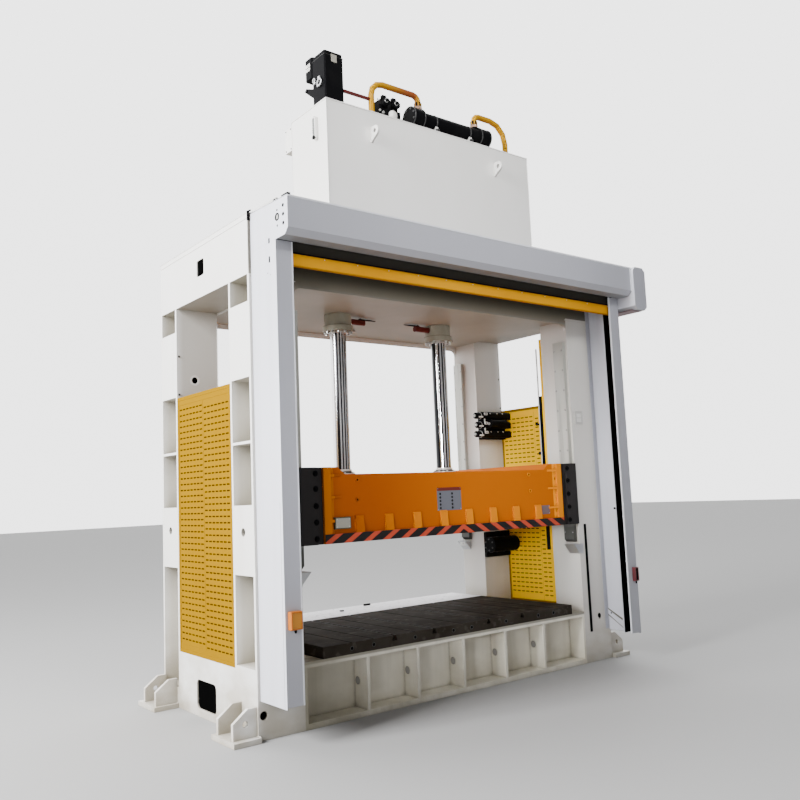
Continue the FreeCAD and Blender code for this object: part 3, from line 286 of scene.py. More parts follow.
# Each rail turns nearly black towards its lower end, below about 1.3 m: a painted shadow of the gib and
# slide.
RAIL_STEEL = finish_of("rail_steel", (0.50, 0.50, 0.46), 0.34, metallic=0.35,
                       grime=((0.20, 0.20, 0.17), 0.6, 3.0, (1, 1, 0.25)),
                       streaks=((0.16, 0.16, 0.13), 0.5, 16.0),
                       zones=(((0.045, 0.045, 0.040), 0.95, (("Z", 1.24, 1.34),)),))
BOLSTER_STEEL = finish_of("bolster_steel", (0.033, 0.027, 0.021), 0.8, gloss=0.02,
                          grime=((0.065, 0.057, 0.049), 0.7, 4.0, EVEN),
                          speck=((0.13, 0.115, 0.10), 0.25, 14.0), corner=((0.006, 0.005, 0.004), 0.8, 0.04))
DECK_PAINT = finish_of("deck_paint", (0.90, 0.90, 0.94), 0.5, speck=((0.2, 0.2, 0.24), 0.5, 30.0),
                       grime=((0.6, 0.59, 0.6), 0.4, 6.0, EVEN))
SHEET_STEEL = finish_of("bright_sheet", (0.55, 0.56, 0.57), 0.32, metallic=0.75)
# The rods' dark upright streaks are painted reflections.
CHROME = finish_of("hard_chrome", (0.86, 0.86, 0.88), 0.14, metallic=0.8,
                   lines=((0.006, 0.006, 0.008), 0.99, 12.5), peel=0.0, edge=0)
COLLAR_STEEL = finish_of("collar_steel", (0.62, 0.61, 0.58), 0.35, metallic=0.3)
DARK_STEEL = finish_of("dark_steel", (0.05, 0.05, 0.05), 0.4, metallic=0.5)
GLAND_IRON = finish_of("gland_iron", (0.30, 0.285, 0.22), 0.5, grime=((0.14, 0.13, 0.09), 0.5, 9.0, UPRIGHT),
                       corner=((0.05, 0.045, 0.03), 0.9, 0.02))
SEAM_BROWN = finish_of("seam_brown", (0.09, 0.08, 0.055), 0.6, edge=0)
WORN_STEEL = finish_of("worn_steel", (0.050, 0.045, 0.040), 0.6, gloss=0.1, edge=0)
SEAM_LILAC = finish_of("seam_lilac", (0.22, 0.22, 0.26), 0.5, edge=0)
ZINC = finish_of("zinc", (0.55, 0.55, 0.53), 0.35, metallic=0.9)
DARK_RED = finish_of("valve_red", (0.10, 0.008, 0.005), 0.35, gloss=0.3)
BLACK = finish_of("black_paint", (0.0030, 0.0030, 0.0036), 0.5, gloss=0.03,
                  grime=((0.009, 0.009, 0.009), 0.5, 6.0, EVEN), edge=0.003)
# Flat black for holes, slots, seams and openings: painted shade standing for the dark inside them.
BLACK_MATT = finish_of("black_inside", (0.0015, 0.0015, 0.0015), 0.9, gloss=0.0, edge=0)
PIPE_PAINT = {"colour": (0.40, 0.20, 0.0), "roughness": 0.5, "gloss": 0.15, "shade_below": ((0.30, 0.10, 0.0), 0.8),
              "edge": 0}
PIPE_YELLOW = finish_of("pipe_yellow", **PIPE_PAINT)
PIPE_PATCHED = finish_of("pipe_patched", **PIPE_PAINT,
                         zones=(((0.22, 0.055, 0.012), 1.0, (("X", -0.22, -0.50), ("X", -0.16, -0.11))),))
PIPE_RED = finish_of("pipe_red", (0.085, 0.009, 0.008), 0.35, gloss=0.3, edge=0)
GLASS_GREY = finish_of("gauge_glass", (0.14, 0.145, 0.14), 0.12, coat=0.3, edge=0)
PLUG_GREY = finish_of("plug_grey", (0.27, 0.26, 0.24), 0.5)
CLOTH = finish_of("shutter_cloth", (0.042, 0.038, 0.032), 0.85, gloss=0.1, peel=0.3, peel_scale=900.0, edge=0)
BAR_YELLOW = finish_of("bar_yellow", (0.66, 0.30, 0.0), 0.6, gloss=0.03,
                       grime=((0.46, 0.17, 0.0), 0.5, 3.0, (0.4, 1, 1)), shade_below=((0.28, 0.10, 0.0), 0.7))
SENSOR_ORANGE = finish_of("sensor_orange", (0.44, 0.12, 0.003), 0.4, gloss=0.4,
                          corner=((0.12, 0.02, 0.001), 0.7, 0.02))
SENSOR_AMBER = finish_of("sensor_amber", (0.50, 0.19, 0.003), 0.3, coat=0.2)
SENSOR_RED = finish_of("sensor_red", (0.10, 0.015, 0.02), 0.35)
PLASTIC_GREY = finish_of("plastic_grey", (0.52, 0.51, 0.48), 0.45)
PALE = finish_of("pale_plate", (0.74, 0.73, 0.70), 0.4)
PLATE_GREY = finish_of("plate_grey", (0.135, 0.14, 0.165), 0.5, gloss=0.2, edge=0)
PLATE_MAUVE = finish_of("plate_mauve", (0.17, 0.115, 0.12), 0.5, gloss=0.2, edge=0)
PLATE_LIGHT = finish_of("plate_light", (0.30, 0.285, 0.24), 0.5, gloss=0.2,
                        speck=((0.2, 0.2, 0.22), 0.6, 240.0), edge=0)
PLATE_HEADER = finish_of("plate_header", (0.13, 0.012, 0.006), 0.45, edge=0)
PLATE_FRAME = finish_of("plate_frame", (0.05, 0.042, 0.018), 0.5, edge=0)
BRONZE = finish_of("bronze", (0.20, 0.12, 0.08), 0.35, metallic=0.6)

# Node names or patterns of them, with the finish that they take.
NODE_FINISHES = (
    (CROWN_CREAM, "crown"),
    (BED_CREAM, "bed"),
    (CREAM, "bed_side_* foot_*"),
    (COLUMN_LEFT, "column_*_left"),
    (COLUMN_RIGHT, "column_*_right"),
    (RAIL_STEEL, "guide_rail_*"),
    (BOLSTER_STEEL, "bolster"),
    (DECK_PAINT, "rear_deck"),
    (SHEET_STEEL, "catch_trays"),
    (ORANGE, "slide"),
    (CHARCOAL, "gib_blocks_*"),
    (CHROME, "piston_rod_*"),
    (COLLAR_STEEL, "rod_flanges"),
    (GLAND_IRON, "cylinder_barrel_* gland_rings"),
    (ZINC, "gland_bolts"),
    (DARK_RED, "shut_off_valves"),
    (TANK_CREAM, "oil_tank tank_valve_box"),
    (PALE, "level_gauge cooler_saddles"),
    (BLACK, "valve_lever_* pump_motor motor_connector_box oil_cooler valve_manifold"),
    (BLACK, "encoder_strip limit_switch_rail column_valve_block lock_cylinder"),
    (PIPE_RED, "supply_pipe"),
    (PIPE_PATCHED, "return_pipe"),
    (PIPE_YELLOW, "pressure_pipe"),
    (LILAC, "shutter_post_* shutter_header header_end_* shutter_motor_box"),
    (BAR_YELLOW, "shutter_bottom_bar"),
    (CLOTH, "shutter_roll"),
    (PLASTIC_GREY, "switch_plate"),
)
for finish, patterns in NODE_FINISHES:
    for pattern in patterns.split():
        for name in fnmatch.filter(frame["nodes"], pattern):
            mesh = frame["nodes"][name].data
            mesh.materials.clear()
            mesh.materials.append(finish)


# ---------------------------------------------------------------- pieces
class Piece:
    """A mesh of simple solids in one finish that rides on one body. It may stand for a CAD node.

    Each call that adds a solid gives the piece back. done() turns it into an object; at the end of the
    script it is called for every piece that still waits.
    """
    waiting = []

    def __init__(self, name, finish, body="frame", ease=0.0, smooth=False, stands_for=None):
        self.name = name
        self.finish = finish
        self.body = body
        self.ease = ease
        self.smooth = smooth
        self.stands_for = stands_for
        self.mesh = bmesh.new()
        Piece.waiting.append(self)

    def many(self, form, rows):
        """The same form once for each row of its arguments."""
        for row in rows:
            form(self, *row)
        return self

    def box(self, low, high):
        low, high = Vector(low), Vector(high)
        size = [abs(length) for length in high - low]
        place = Matrix.Translation((low + high) / 2) @ Matrix.Diagonal((*size, 1))
        bmesh.ops.create_cube(self.mesh, size=1, matrix=place)
        return self

    def border(self, low, high, across, band):
        """Four boxes around a flat panel: whole ones below and above, and one at each end between them."""
        bottom, top = low[2] + band, high[2] - band
        self.box(low, (*high[:2], bottom)).box((*low[:2], top), high)
        for near, far in ((low[across], low[across] + band), (high[across] - band, high[across])):
            start, end = [*low[:2], bottom], [*high[:2], top]
            start[across], end[across] = near, far
            self.box(start, end)
        return self

    def cylinder(self, start, end, radius, segments, end_radius=None):
        start = Vector(start)
        along = Vector(end) - start
        turn = along.to_track_quat("Z", "Y").to_matrix().to_4x4()
        bmesh.ops.create_cone(self.mesh, cap_ends=True, segments=segments, radius1=radius,
                              radius2=radius if end_radius is None else end_radius, depth=along.length,
                              matrix=Matrix.Translation(start + along / 2) @ turn)
        return self

    def rod(self, axis, start, end, radius, segments=24, end_radius=None):
        """A round or six-sided rod from start to the coordinate end on an axis."""
        stop = Vector(start)
        setattr(stop, axis, end)
        return self.cylinder(start, stop, radius, segments, end_radius)

    def bolt(self, seat, outward, radius, height):
        """A hexagon head on its washer, at a seat on a face that looks outward."""
        seat, outward = Vector(seat), Vector(outward)
        head = seat + outward * height * WASHER_SHARE
        self.cylinder(seat, head, radius * WASHER_REACH, 20)
        return self.cylinder(head, seat + outward * height, radius, 6)

    def bolt_circle(self, centre, outward, count, reach, radius, height):
        """Bolts at equal steps around a centre, on a face that looks outward along an axis."""
        axis = [abs(part) for part in outward].index(1)
        for step in range(count):
            angle = (step + 0.5) * 2 * math.pi / count
            seat = list(centre)
            seat[(axis + 1) % 3] += reach * math.cos(angle)
            seat[(axis + 2) % 3] += reach * math.sin(angle)
            self.bolt(seat, outward, radius, height)
        return self

    def prism(self, corners, sweep):
        """A flat outline carried along sweep."""
        near = [self.mesh.verts.new(corner) for corner in corners]
        far = [self.mesh.verts.new(Vector(corner) + Vector(sweep)) for corner in corners]
        self.mesh.faces.new(near)
        self.mesh.faces.new(far[::-1])
        for index in range(len(corners)):
            self.mesh.faces.new((near[index - 1], far[index - 1], far[index], near[index]))
        return self

    def ring(self, centre, axis, outer, inner, length, segments=40):
        """A flat ring of a given length along its axis, from centre onwards."""
        centre, along = Vector(centre), Vector(axis) * length
        turn = Vector(axis).to_track_quat("Z", "Y")
        corners = []
        for step in range(segments):
            angle = 2 * math.pi * step / segments
            ray = turn @ Vector((math.cos(angle), math.sin(angle), 0))
            places = (ray * outer, ray * outer + along, ray * inner + along, ray * inner)
            corners.append([self.mesh.verts.new(centre + place) for place in places])
        for step in range(segments):
            here, before = corners[step], corners[step - 1]
            for index in range(4):
                self.mesh.faces.new((before[index - 1], here[index - 1], here[index], before[index]))
        return self

    def sheet(self, place, columns, rows, punched=False):
        """A sheet on a grid of steps, where place gives a corner from its side, column and row.

        A punched sheet is open where the column and the row both have an odd number.
        """
        vertices = {}

        def add_face(*corners):
            for corner in corners:
                if corner not in vertices:
                    vertices[corner] = self.mesh.verts.new(place(*corner))
            self.mesh.faces.new([vertices[corner] for corner in corners])

        def filled(column, row):
            inside = 0 <= column < columns and 0 <= row < rows
            return inside and not (punched and column % 2 and row % 2)

        for column in range(columns):
            for row in range(rows):
                if not filled(column, row):
                    continue
                around = [(column, row), (column + 1, row), (column + 1, row + 1), (column, row + 1)]
                for side in SIDES:
                    add_face(*((side, *corner) for corner in around))
                neighbours = [(column, row - 1), (column + 1, row), (column, row + 1), (column - 1, row)]
                for index, neighbour in enumerate(neighbours):
                    if not filled(*neighbour):
                        a, b = around[index], around[(index + 1) % 4]
                        add_face((-1, *a), (-1, *b), (1, *b), (1, *a))
        return self

    def perforated(self, x0, x1, lines_y, lines_z):
        """A punched sheet across X, from x0 to x1, on lines along Y and Z."""
        return self.sheet(lambda side, column, row: ((x0, x1)[side > 0], lines_y[column], lines_z[row]),
                          len(lines_y) - 1, len(lines_z) - 1, punched=True)

    def done(self):
        Piece.waiting.remove(self)
        bmesh.ops.recalc_face_normals(self.mesh, faces=self.mesh.faces)
        data = bpy.data.meshes.new(self.name)
        self.mesh.to_mesh(data)
        self.mesh.free()
        if self.smooth:
            data.shade_smooth()
            data.set_sharp_from_angle(angle=SHARP_ANGLE)
        thing = bpy.data.objects.new(self.name, data)
        bpy.context.scene.collection.objects.link(thing)
        data.materials.append(self.finish)
        if self.ease:
            bevel = thing.modifiers.new("ease", "BEVEL")
            bevel.width = self.ease
            bevel.segments = 2
            bevel.limit_method = "ANGLE"
        if self.body:
            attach(thing, self.body)
        if self.stands_for:
            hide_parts(self.stands_for)
        return thing


WASHER_SHARE = 0.2
WASHER_REACH = 1.3
SHARP_ANGLE = math.radians(40)


# ---------------------------------------------------------------- side guards
GUARD_OUTER = FRAME_X
GUARD_INNER = FRAME_X - 0.018
GUARD_LOW = 0.444
GUARD_HIGH = 2.490
GUARD_BORDER = 0.028
GUARD_RECESS = 0.004
GUARD_SHEET = 0.0015
GUARD_BACKING = 0.006
GUARD_CREASE = 0.038
GUARD_CREASE_RISE = 0.002
GUARD_SEAM = 0.003
PANEL_Y = COLUMN_INNER_Y - GUARD_BORDER
PANEL_LOW = GUARD_LOW + GUARD_BORDER
PANEL_HIGH = GUARD_HIGH - GUARD_BORDER
DASH_LENGTH = 0.046
DASH_HEIGHT = 0.011
DASH_PITCH = 0.0632
DASHES = 7
DASH_RUN = (DASHES - 1) * DASH_PITCH + DASH_LENGTH
DASH_ROW_LOW = PANEL_LOW + GUARD_CREASE + 0.012
DASH_ROW_PITCH = 0.047
DASH_ROWS = 40


def guard_lines(start, first, pitch, size, count, end):
    """Grid lines of a row of openings: the openings lie between lines 1-2, 3-4 and so on."""
    lines = [start]
    for index in range(count):
        lines += [first + index * pitch, first + index * pitch + size]
    return lines + [end]


def add_guard(side):
    """A border, two punched sheets back to back with raised creases at their ends, and a dark sheet between
    them: painted shade seen through the openings.
    """
    name = ("left", "right")[side > 0]
    node = "side_guard_" + name
    Piece("guard_border_" + name, YELLOW, ease=0.002, stands_for=node).border(
        (side * GUARD_OUTER, -COLUMN_INNER_Y, GUARD_LOW), (side * GUARD_INNER, COLUMN_INNER_Y, GUARD_HIGH),
        1, GUARD_BORDER)
    for where, face, finish in (("outer", GUARD_OUTER - GUARD_RECESS, YELLOW),
                                ("inner", GUARD_INNER + GUARD_SHEET, YELLOW_BRIGHTENED_FOR_SHADE)):
        panel = Piece("guard_" + where + "_sheet_" + name, finish, stands_for=node)
        for y0, y1, stagger in ((-PANEL_Y, -GUARD_SEAM / 2, 0),
                                (GUARD_SEAM / 2, PANEL_Y, DASH_ROW_PITCH / 2)):
            panel.perforated(
                side * face, side * (face - GUARD_SHEET),
                guard_lines(y0, (y0 + y1 - DASH_RUN) / 2, DASH_PITCH, DASH_LENGTH, DASHES, y1),
                guard_lines(PANEL_LOW, DASH_ROW_LOW + stagger, DASH_ROW_PITCH, DASH_HEIGHT, DASH_ROWS,
                            PANEL_HIGH))
    face = side * (GUARD_OUTER - GUARD_RECESS)
    raised = face + side * GUARD_CREASE_RISE
    Piece("guard_crease_" + name, YELLOW, ease=0.001, stands_for=node).many(Piece.box, (
        ((face, -PANEL_Y, PANEL_LOW), (raised, PANEL_Y, PANEL_LOW + GUARD_CREASE)),
        ((face, -PANEL_Y, PANEL_HIGH - GUARD_CREASE), (raised, PANEL_Y, PANEL_HIGH))))
    # A dark sheet between the punched sheets: painted shade behind the openings.
    middle = side * (GUARD_INNER + GUARD_BACKING)
    Piece("guard_slot_shadow_" + name, SLOT_SHADOW, stands_for=node).box(
        (middle, -PANEL_Y, PANEL_LOW), (middle + side * GUARD_SHEET, PANEL_Y, PANEL_HIGH))


# ---------------------------------------------------------------- slide
slide_low, slide_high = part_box("slide")
SLIDE_PLATE_Y = 0.800
SLIDE_FLANGE_HEIGHT = 0.070
STRIPE_PITCH = 0.180
STRIPE_WIDTH = 0.110
STRIPE_SLANT = 0.110
STRIPE_TURN_X = 0.055
STRIPE_THICKNESS = 0.001
STRIPE_LIFT = 0.0005
STRIPES = 10


def clipped_stripe(x, lean, start, end, low, high):
    """Corners of one slanted stripe as (x, z), cut off at the ends of its field."""
    corners = [(x, low), (x + STRIPE_WIDTH, low), (x + STRIPE_WIDTH + lean, high), (x + lean, high)]
    for limit, keep in ((start, 1), (end, -1)):
        kept = []
        for index, (ax, az) in enumerate(corners):
            bx, bz = corners[(index + 1) % len(corners)]
            inside_a = keep * (ax - limit) >= 0
            inside_b = keep * (bx - limit) >= 0
            if inside_a:
                kept.append((ax, az))
            if inside_a != inside_b:
                share = (limit - ax) / (bx - ax)
                kept.append((limit, az + share * (bz - az)))
        corners = kept
    return corners


def add_stripes():
    """A red field along the foot of the slide's front and rear, with black stripes that turn at one place."""
    low = slide_low.z + STRIPE_LIFT
    high = slide_low.z + SLIDE_FLANGE_HEIGHT
    for name, face, out in (("front", slide_low.y, -STRIPE_THICKNESS),
                            ("rear", slide_high.y, STRIPE_THICKNESS)):
        field = ((slide_low.x, low), (slide_high.x, low), (slide_high.x, high), (slide_low.x, high))
        Piece("stripe_field_" + name, STRIPE_RED, "slide").prism(
            [(x, face, z) for x, z in field], (0, out, 0))
        black = Piece("stripes_" + name, STRIPE_BLACK, "slide")
        for side, start, end in ((-1, slide_low.x, STRIPE_TURN_X), (1, STRIPE_TURN_X, slide_high.x)):
            for step in range(STRIPES):
                x = STRIPE_TURN_X - STRIPE_WIDTH / 2 + side * step * STRIPE_PITCH
                corners = clipped_stripe(x, -side * STRIPE_SLANT, start, end, low, high)
                if len(corners) > 2:
                    black.prism([(x, face + out, z) for x, z in corners], (0, out, 0))


PLATE_THICKNESS = 0.002
PLATE_BORDER = 0.008
PLATE_EASE = 0.0005
RIVET_INSET = 0.009
RIVET_HEIGHT = 0.002


def front_plate(name, body, x0, x1, z0, z1, y, finish, spacer=0.0, rivets=True):
    """A bare plate on a face that looks forward, riveted or not, on a dark spacer where it has one."""
    if spacer:
        Piece(name + "_border", PLATE_FRAME, body, PLATE_EASE).box(
            (x0 - PLATE_BORDER, y, z0 - PLATE_BORDER), (x1 + PLATE_BORDER, y - spacer, z1 + PLATE_BORDER))
        y -= spacer
    face = y - PLATE_THICKNESS
    Piece(name, finish, body, PLATE_EASE).box((x0, y, z0), (x1, face, z1))
    if rivets:
        Piece(name + "_rivets", ZINC, body).many(Piece.rod, (
            ("y", (x, face, z), face - RIVET_HEIGHT, 0.004, 12, 0.0025)
            for x in (x0 + RIVET_INSET, x1 - RIVET_INSET) for z in (z0 + RIVET_INSET, z1 - RIVET_INSET)))


SLIDE_HEAD_RISE = 0.0015
BOSS_PLACES = ((-0.992, 1.747), (-0.995, 1.596), (0.893, 1.752), (0.900, 1.607))
BAND_HOLES = ((1.249, 1.708), (1.254, 1.413))
MARK_COLUMNS = (-0.165, -0.035)
MARK_TOP = 1.612
MARK_PITCH = 0.029
GIB_BOLT_HEIGHTS = (1.323, 1.443, 1.562, 1.687, 1.800)
GIB_BOLT_X = 1.384
GIB_FACE_Y = 0.8303


def add_slide_details():
    """Threaded bosses, bare plates with plain dots, holes in the end bands and the gib blocks' bolts."""
    bosses = Piece("slide_bosses", ORANGE, "slide", 0.0015, smooth=True)
    holes = Piece("slide_boss_threads", BLACK_MATT, "slide")
    bolts = Piece("gib_bolts", BLACK, "slide", 0.001)
    for end in SIDES:
        face = end * SLIDE_PLATE_Y
        for x, z in BOSS_PLACES:
            bosses.ring((x, face, z), (0, end, 0), 0.017, 0.009, 0.010, 28)
            holes.rod("y", (x, face, z), end * (SLIDE_PLATE_Y + 0.003), 0.0092, 20)
        for side in SIDES:
            for z in GIB_BOLT_HEIGHTS:
                bolts.bolt((side * GIB_BOLT_X, end * GIB_FACE_Y, z), (0, end, 0), 0.017, 0.014)
    face = -SLIDE_PLATE_Y
    front_plate("slide_plate_left", "slide", -1.209, -1.081, 1.391, 1.464, face, PLATE_LIGHT, spacer=0.021)
    front_plate("slide_plate_main", "slide", -0.198, 0.065, 1.475, 1.664, face, PLATE_GREY)
    front_plate("slide_plate_head", "slide", -0.198, 0.065, 1.637, 1.664, face - SLIDE_HEAD_RISE,
                PLATE_HEADER, rivets=False)
    front_plate("slide_plate_right", "slide", 1.010, 1.150, 1.388, 1.468, face, PLATE_MAUVE)
    Piece("slide_plate_marks", STRIPE_BLACK, "slide").many(Piece.rod, (
        ("y", (x, face - PLATE_THICKNESS, MARK_TOP - MARK_PITCH * row), face - 0.003, 0.0105, 16)
        for x in MARK_COLUMNS for row in range(5)))
    Piece("slide_band_holes", BLACK_MATT, "slide").many(Piece.rod, (
        ("y", (side * x, face + SKIN, z), face - SKIN, 0.014, 20) for x, z in BAND_HOLES for side in SIDES))


ROD_X = 0.583
ROD_RADIUS = 0.070
ROD_FLANGE_TOP = 1.822
SEAT_HEIGHT = 0.016
GLAND_Y = -0.05


def add_rod_details():
    """Seat rings, collars and bolts where the rods stand on the slide; wipers, seams and fittings above."""
    dark = Piece("rod_seat_rings", DARK_STEEL, "slide", 0.002, smooth=True)
    light = Piece("rod_seat_collars", COLLAR_STEEL, "slide", 0.002, smooth=True)
    bolts = Piece("rod_flange_bolts", ZINC, "slide")
    wiper = Piece("rod_wipers", COLLAR_STEEL, ease=0.002, smooth=True)
    seams = Piece("gland_seams", SEAM_BROWN)
    fittings = Piece("gland_fittings", ZINC, smooth=True)
    bore = ROD_RADIUS + 0.0003
    for side in SIDES:
        x = side * ROD_X
        dark.ring((x, 0, ROD_FLANGE_TOP), UP, ROD_RADIUS + 0.018, bore, SEAT_HEIGHT, 48)
        light.ring((x, 0, ROD_FLANGE_TOP + SEAT_HEIGHT), UP, ROD_RADIUS + 0.010, bore, 0.018, 48)
        bolts.bolt_circle((x, 0, ROD_FLANGE_TOP), UP, 8, 0.098, 0.007, 0.010)
        wiper.ring((x, 0, 3.060), UP, 0.088, 0.0712, 0.015, 48)
        seams.ring((x, 0, 3.122), UP, 0.1356, 0.120, 0.003, 64)
        fittings.rod("x", (x + 0.110, GLAND_Y, 3.086), x + 0.146, 0.010, 6)
        fittings.rod("z", (x + 0.140, GLAND_Y, 3.080), 3.112, 0.007, 14)


# ---------------------------------------------------------------- shutter
CURTAIN_X = 1.840
CURTAIN_Y = -1.130
CURTAIN_LOW = 3.340
CURTAIN_HIGH = 3.552
CURTAIN_THICKNESS = 0.0016
CURTAIN_COLUMNS = 96
CURTAIN_ROWS = 24
CURTAIN_WAVE = 0.0007
CURTAIN_WAVE_RATE = 9.0


def curtain_corner(side, column, row):
    x = -CURTAIN_X + 2 * CURTAIN_X * column / CURTAIN_COLUMNS
    drop = row / CURTAIN_ROWS
    sway = CURTAIN_WAVE * math.sin(x * CURTAIN_WAVE_RATE) * math.sin(math.pi * drop)
    z = CURTAIN_LOW + (CURTAIN_HIGH - CURTAIN_LOW) * drop
    return x, CURTAIN_Y + sway + side * CURTAIN_THICKNESS / 2, z


def add_curtain():
    """The cloth between the roll and the bar: a thin sheet with faint waves that die out at its ends."""
    cloth = Piece("curtain_cloth", CLOTH, None, smooth=True, stands_for="shutter_curtain").sheet(
        curtain_corner, CURTAIN_COLUMNS, CURTAIN_ROWS).done()
    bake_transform(cloth)


ROLL_Y = -1.208
ROLL_RADIUS = 0.0755
ROLL_CORE = 0.038
ROLL_SHAFT = 0.0195
ROLL_END = 1.8645
ROLL_TUBE_X = CURTAIN_X + 0.006
ROLL_TURNS = 9
ROLL_TURN_STEP = 0.0015


def add_roll():
    """The cloth wound on its tube, whose turns show at the ends as fine steps, and the tube on its shaft."""
    node = "shutter_roll"
    wound = Piece("wound_cloth", CLOTH, node, smooth=True, stands_for=node)
    layer = (ROLL_RADIUS - ROLL_CORE) / ROLL_TURNS
    for turn in range(ROLL_TURNS):
        inner = ROLL_CORE + turn * layer
        reach = CURTAIN_X - turn % 2 * ROLL_TURN_STEP
        wound.ring((-reach, ROLL_Y, CURTAIN_HIGH), RIGHT, inner + layer, inner, 2 * reach, 96)
    low = CURTAIN_HIGH - ROLL_RADIUS
    Piece("wound_cloth_edge", CLOTH, node, 0.001, stands_for=node).box(
        (-CURTAIN_X, ROLL_Y - 0.010, low - 0.0002), (CURTAIN_X, ROLL_Y + 0.010, low + 0.004))
    tube = Piece("roll_tube", ZINC, node, 0.001, smooth=True, stands_for=node)
    tube.ring((-ROLL_TUBE_X, ROLL_Y, CURTAIN_HIGH), RIGHT, ROLL_CORE, ROLL_SHAFT, 2 * ROLL_TUBE_X, 48)
    tube.rod("x", (-ROLL_END, ROLL_Y, CURTAIN_HIGH), ROLL_END, ROLL_SHAFT, 32)


HEADER_X = 1.865
HEADER_FRONT_Y = -1.347
HEADER_REAR_Y = -0.820
HEADER_TOP_FRONT = 3.670
HEADER_TOP_REAR = 3.691
HEADER_LOW = 3.403
END_HOLES = ((-1.290, 3.612, 0.013), (-1.290, 3.550, 0.013), (-1.290, 3.487, 0.013), (-1.208, 3.601, 0.008),
             (-1.208, 3.490, 0.008))
TOP_BAR_BOXES = (((-1.862, -1.190, 3.676), (-1.842, -0.830, 3.700)),
                 ((-1.862, -1.190, 3.676), (-1.780, -1.150, 3.696)))
RIGHT_EDGE_BOXES = (((1.856, -1.353, HEADER_LOW + 0.040), (1.8655, -1.348, HEADER_TOP_FRONT)),
                    ((1.8655, -1.353, 3.38), (1.869, -1.06, 3.676)))


def add_header_details():
    """Screw holes in the left end, folded seams along the top, a bar on it and a strip at the right end."""
    Piece("header_end_holes", BLACK_MATT).many(Piece.rod, (
        ("x", (-HEADER_X + SKIN, y, z), -HEADER_X - SKIN, radius, 20) for y, z, radius in END_HOLES)).box(
        (-HEADER_X - SKIN, -1.096, 3.398), (-HEADER_X + SKIN, -1.078, 3.434))
    Piece("roll_bearing_cap", BLACK, ease=0.0008, smooth=True).ring(
        (-HEADER_X, ROLL_Y, CURTAIN_HIGH), LEFT, 0.028, 0.018, 0.003, 32)
    seams = Piece("header_seams", LILAC_EDGE, ease=0.001)
    slope = ((HEADER_FRONT_Y, HEADER_TOP_FRONT - 0.004), (HEADER_FRONT_Y, HEADER_TOP_FRONT + 0.003),
             (HEADER_REAR_Y, HEADER_TOP_REAR + 0.003), (HEADER_REAR_Y, HEADER_TOP_REAR - 0.004))
    for side in SIDES:
        seams.prism([(side * HEADER_X, y, z) for y, z in slope], (-side * 0.014, 0, 0))
    seams.box((-HEADER_X, HEADER_FRONT_Y - 0.004, HEADER_TOP_FRONT - 0.012),
              (HEADER_X, HEADER_FRONT_Y, HEADER_TOP_FRONT + 0.002))
    seams.box((-HEADER_X, -0.828, HEADER_TOP_REAR - 0.002), (HEADER_X, -0.817, HEADER_TOP_REAR + 0.009))
    Piece("header_top_tip", BLACK, ease=0.003).box((-1.862, -1.345, 3.672), (-1.835, -1.262, 3.690))
    Piece("header_top_bar", COLLAR_STEEL, ease=0.003).many(Piece.box, TOP_BAR_BOXES)
    Piece("header_right_edge", LILAC_EDGE, ease=0.001).many(Piece.box, RIGHT_EDGE_BOXES)
    Piece("drive_box_gasket", SENSOR_RED, ease=0.001).box((1.868, -1.340, 3.2615), (2.010, -1.060, 3.2655))


POST_OUTER_X = 1.865
POST_INNER_X = 1.732
POST_WALL_X = 1.861
POST_LOW = 0.276
CHANNEL_TOP = 3.40
SLOT_Y = (-1.096, -1.078)
SLOT_HOLES = ((-1.060, 3.19, 0.004), (-1.10, 3.17, 0.003))
BRACE_SHADOW = ((-1.094, 0.270), (-1.016, 0.270), (-0.8185, 0.396), (-0.8185, 0.464), (-1.094, 0.322))
BRACE_HOLES = ((-1.060, 0.295), (-0.860, 0.420))


def add_post_details():
    """Dark strips of painted shade in the channels, light lips at their mouths; slots, seams and a painted
    shadow round each brace outside.
    """
    shade = Piece("channel_shade_strips", BLACK_MATT)
    lips = Piece("channel_lips", LILAC_EDGE, ease=0.0006)
    slots = Piece("post_slots", BLACK_MATT)
    seams = Piece("post_side_seams", SEAM_LILAC)
    brace_shadow = Piece("post_brace_shadow", SEAM_BROWN)
    for side in SIDES:
        outer, wall, mouth = side * POST_OUTER_X, side * POST_WALL_X, side * POST_INNER_X
        shade.box((wall - side * 0.0025, -1.164, POST_LOW + 0.01), (wall, -1.096, CHANNEL_TOP))
        shade.box((side * 1.738, -1.0985, POST_LOW + 0.002), (side * 1.8585, -1.0945, CHANNEL_TOP))
        lips.box((mouth - side * 0.0015, -1.1785, POST_LOW), (mouth + side * 0.010, -1.1655, HEADER_LOW))
        slots.box((outer, SLOT_Y[0], 3.260), (outer + side * SKIN, SLOT_Y[1], 3.304))
        for y, z, radius in SLOT_HOLES:
            slots.rod("x", (outer, y, z), outer + side * SKIN, radius, 16)
        for y, z in BRACE_HOLES:
            slots.rod("x", (wall - side * 0.0075, y, z), wall - side * 0.0088, 0.008, 20)
        seams.box((outer, -1.1500, POST_LOW - 0.010), (outer + side * 0.0006, -1.1475, 1.60))
        # A dark outline round the brace: painted shadow.
        brace_shadow.prism([(wall, y, z) for y, z in BRACE_SHADOW], (-side * 0.0015, 0, 0))


BAR_X = 1.835
BAR_HIGH = 3.340
BAR_FRONT_Y = -1.150
BAR_SCREW_Z = BAR_HIGH - 0.020
BAR_SCREW_PITCH = 0.29


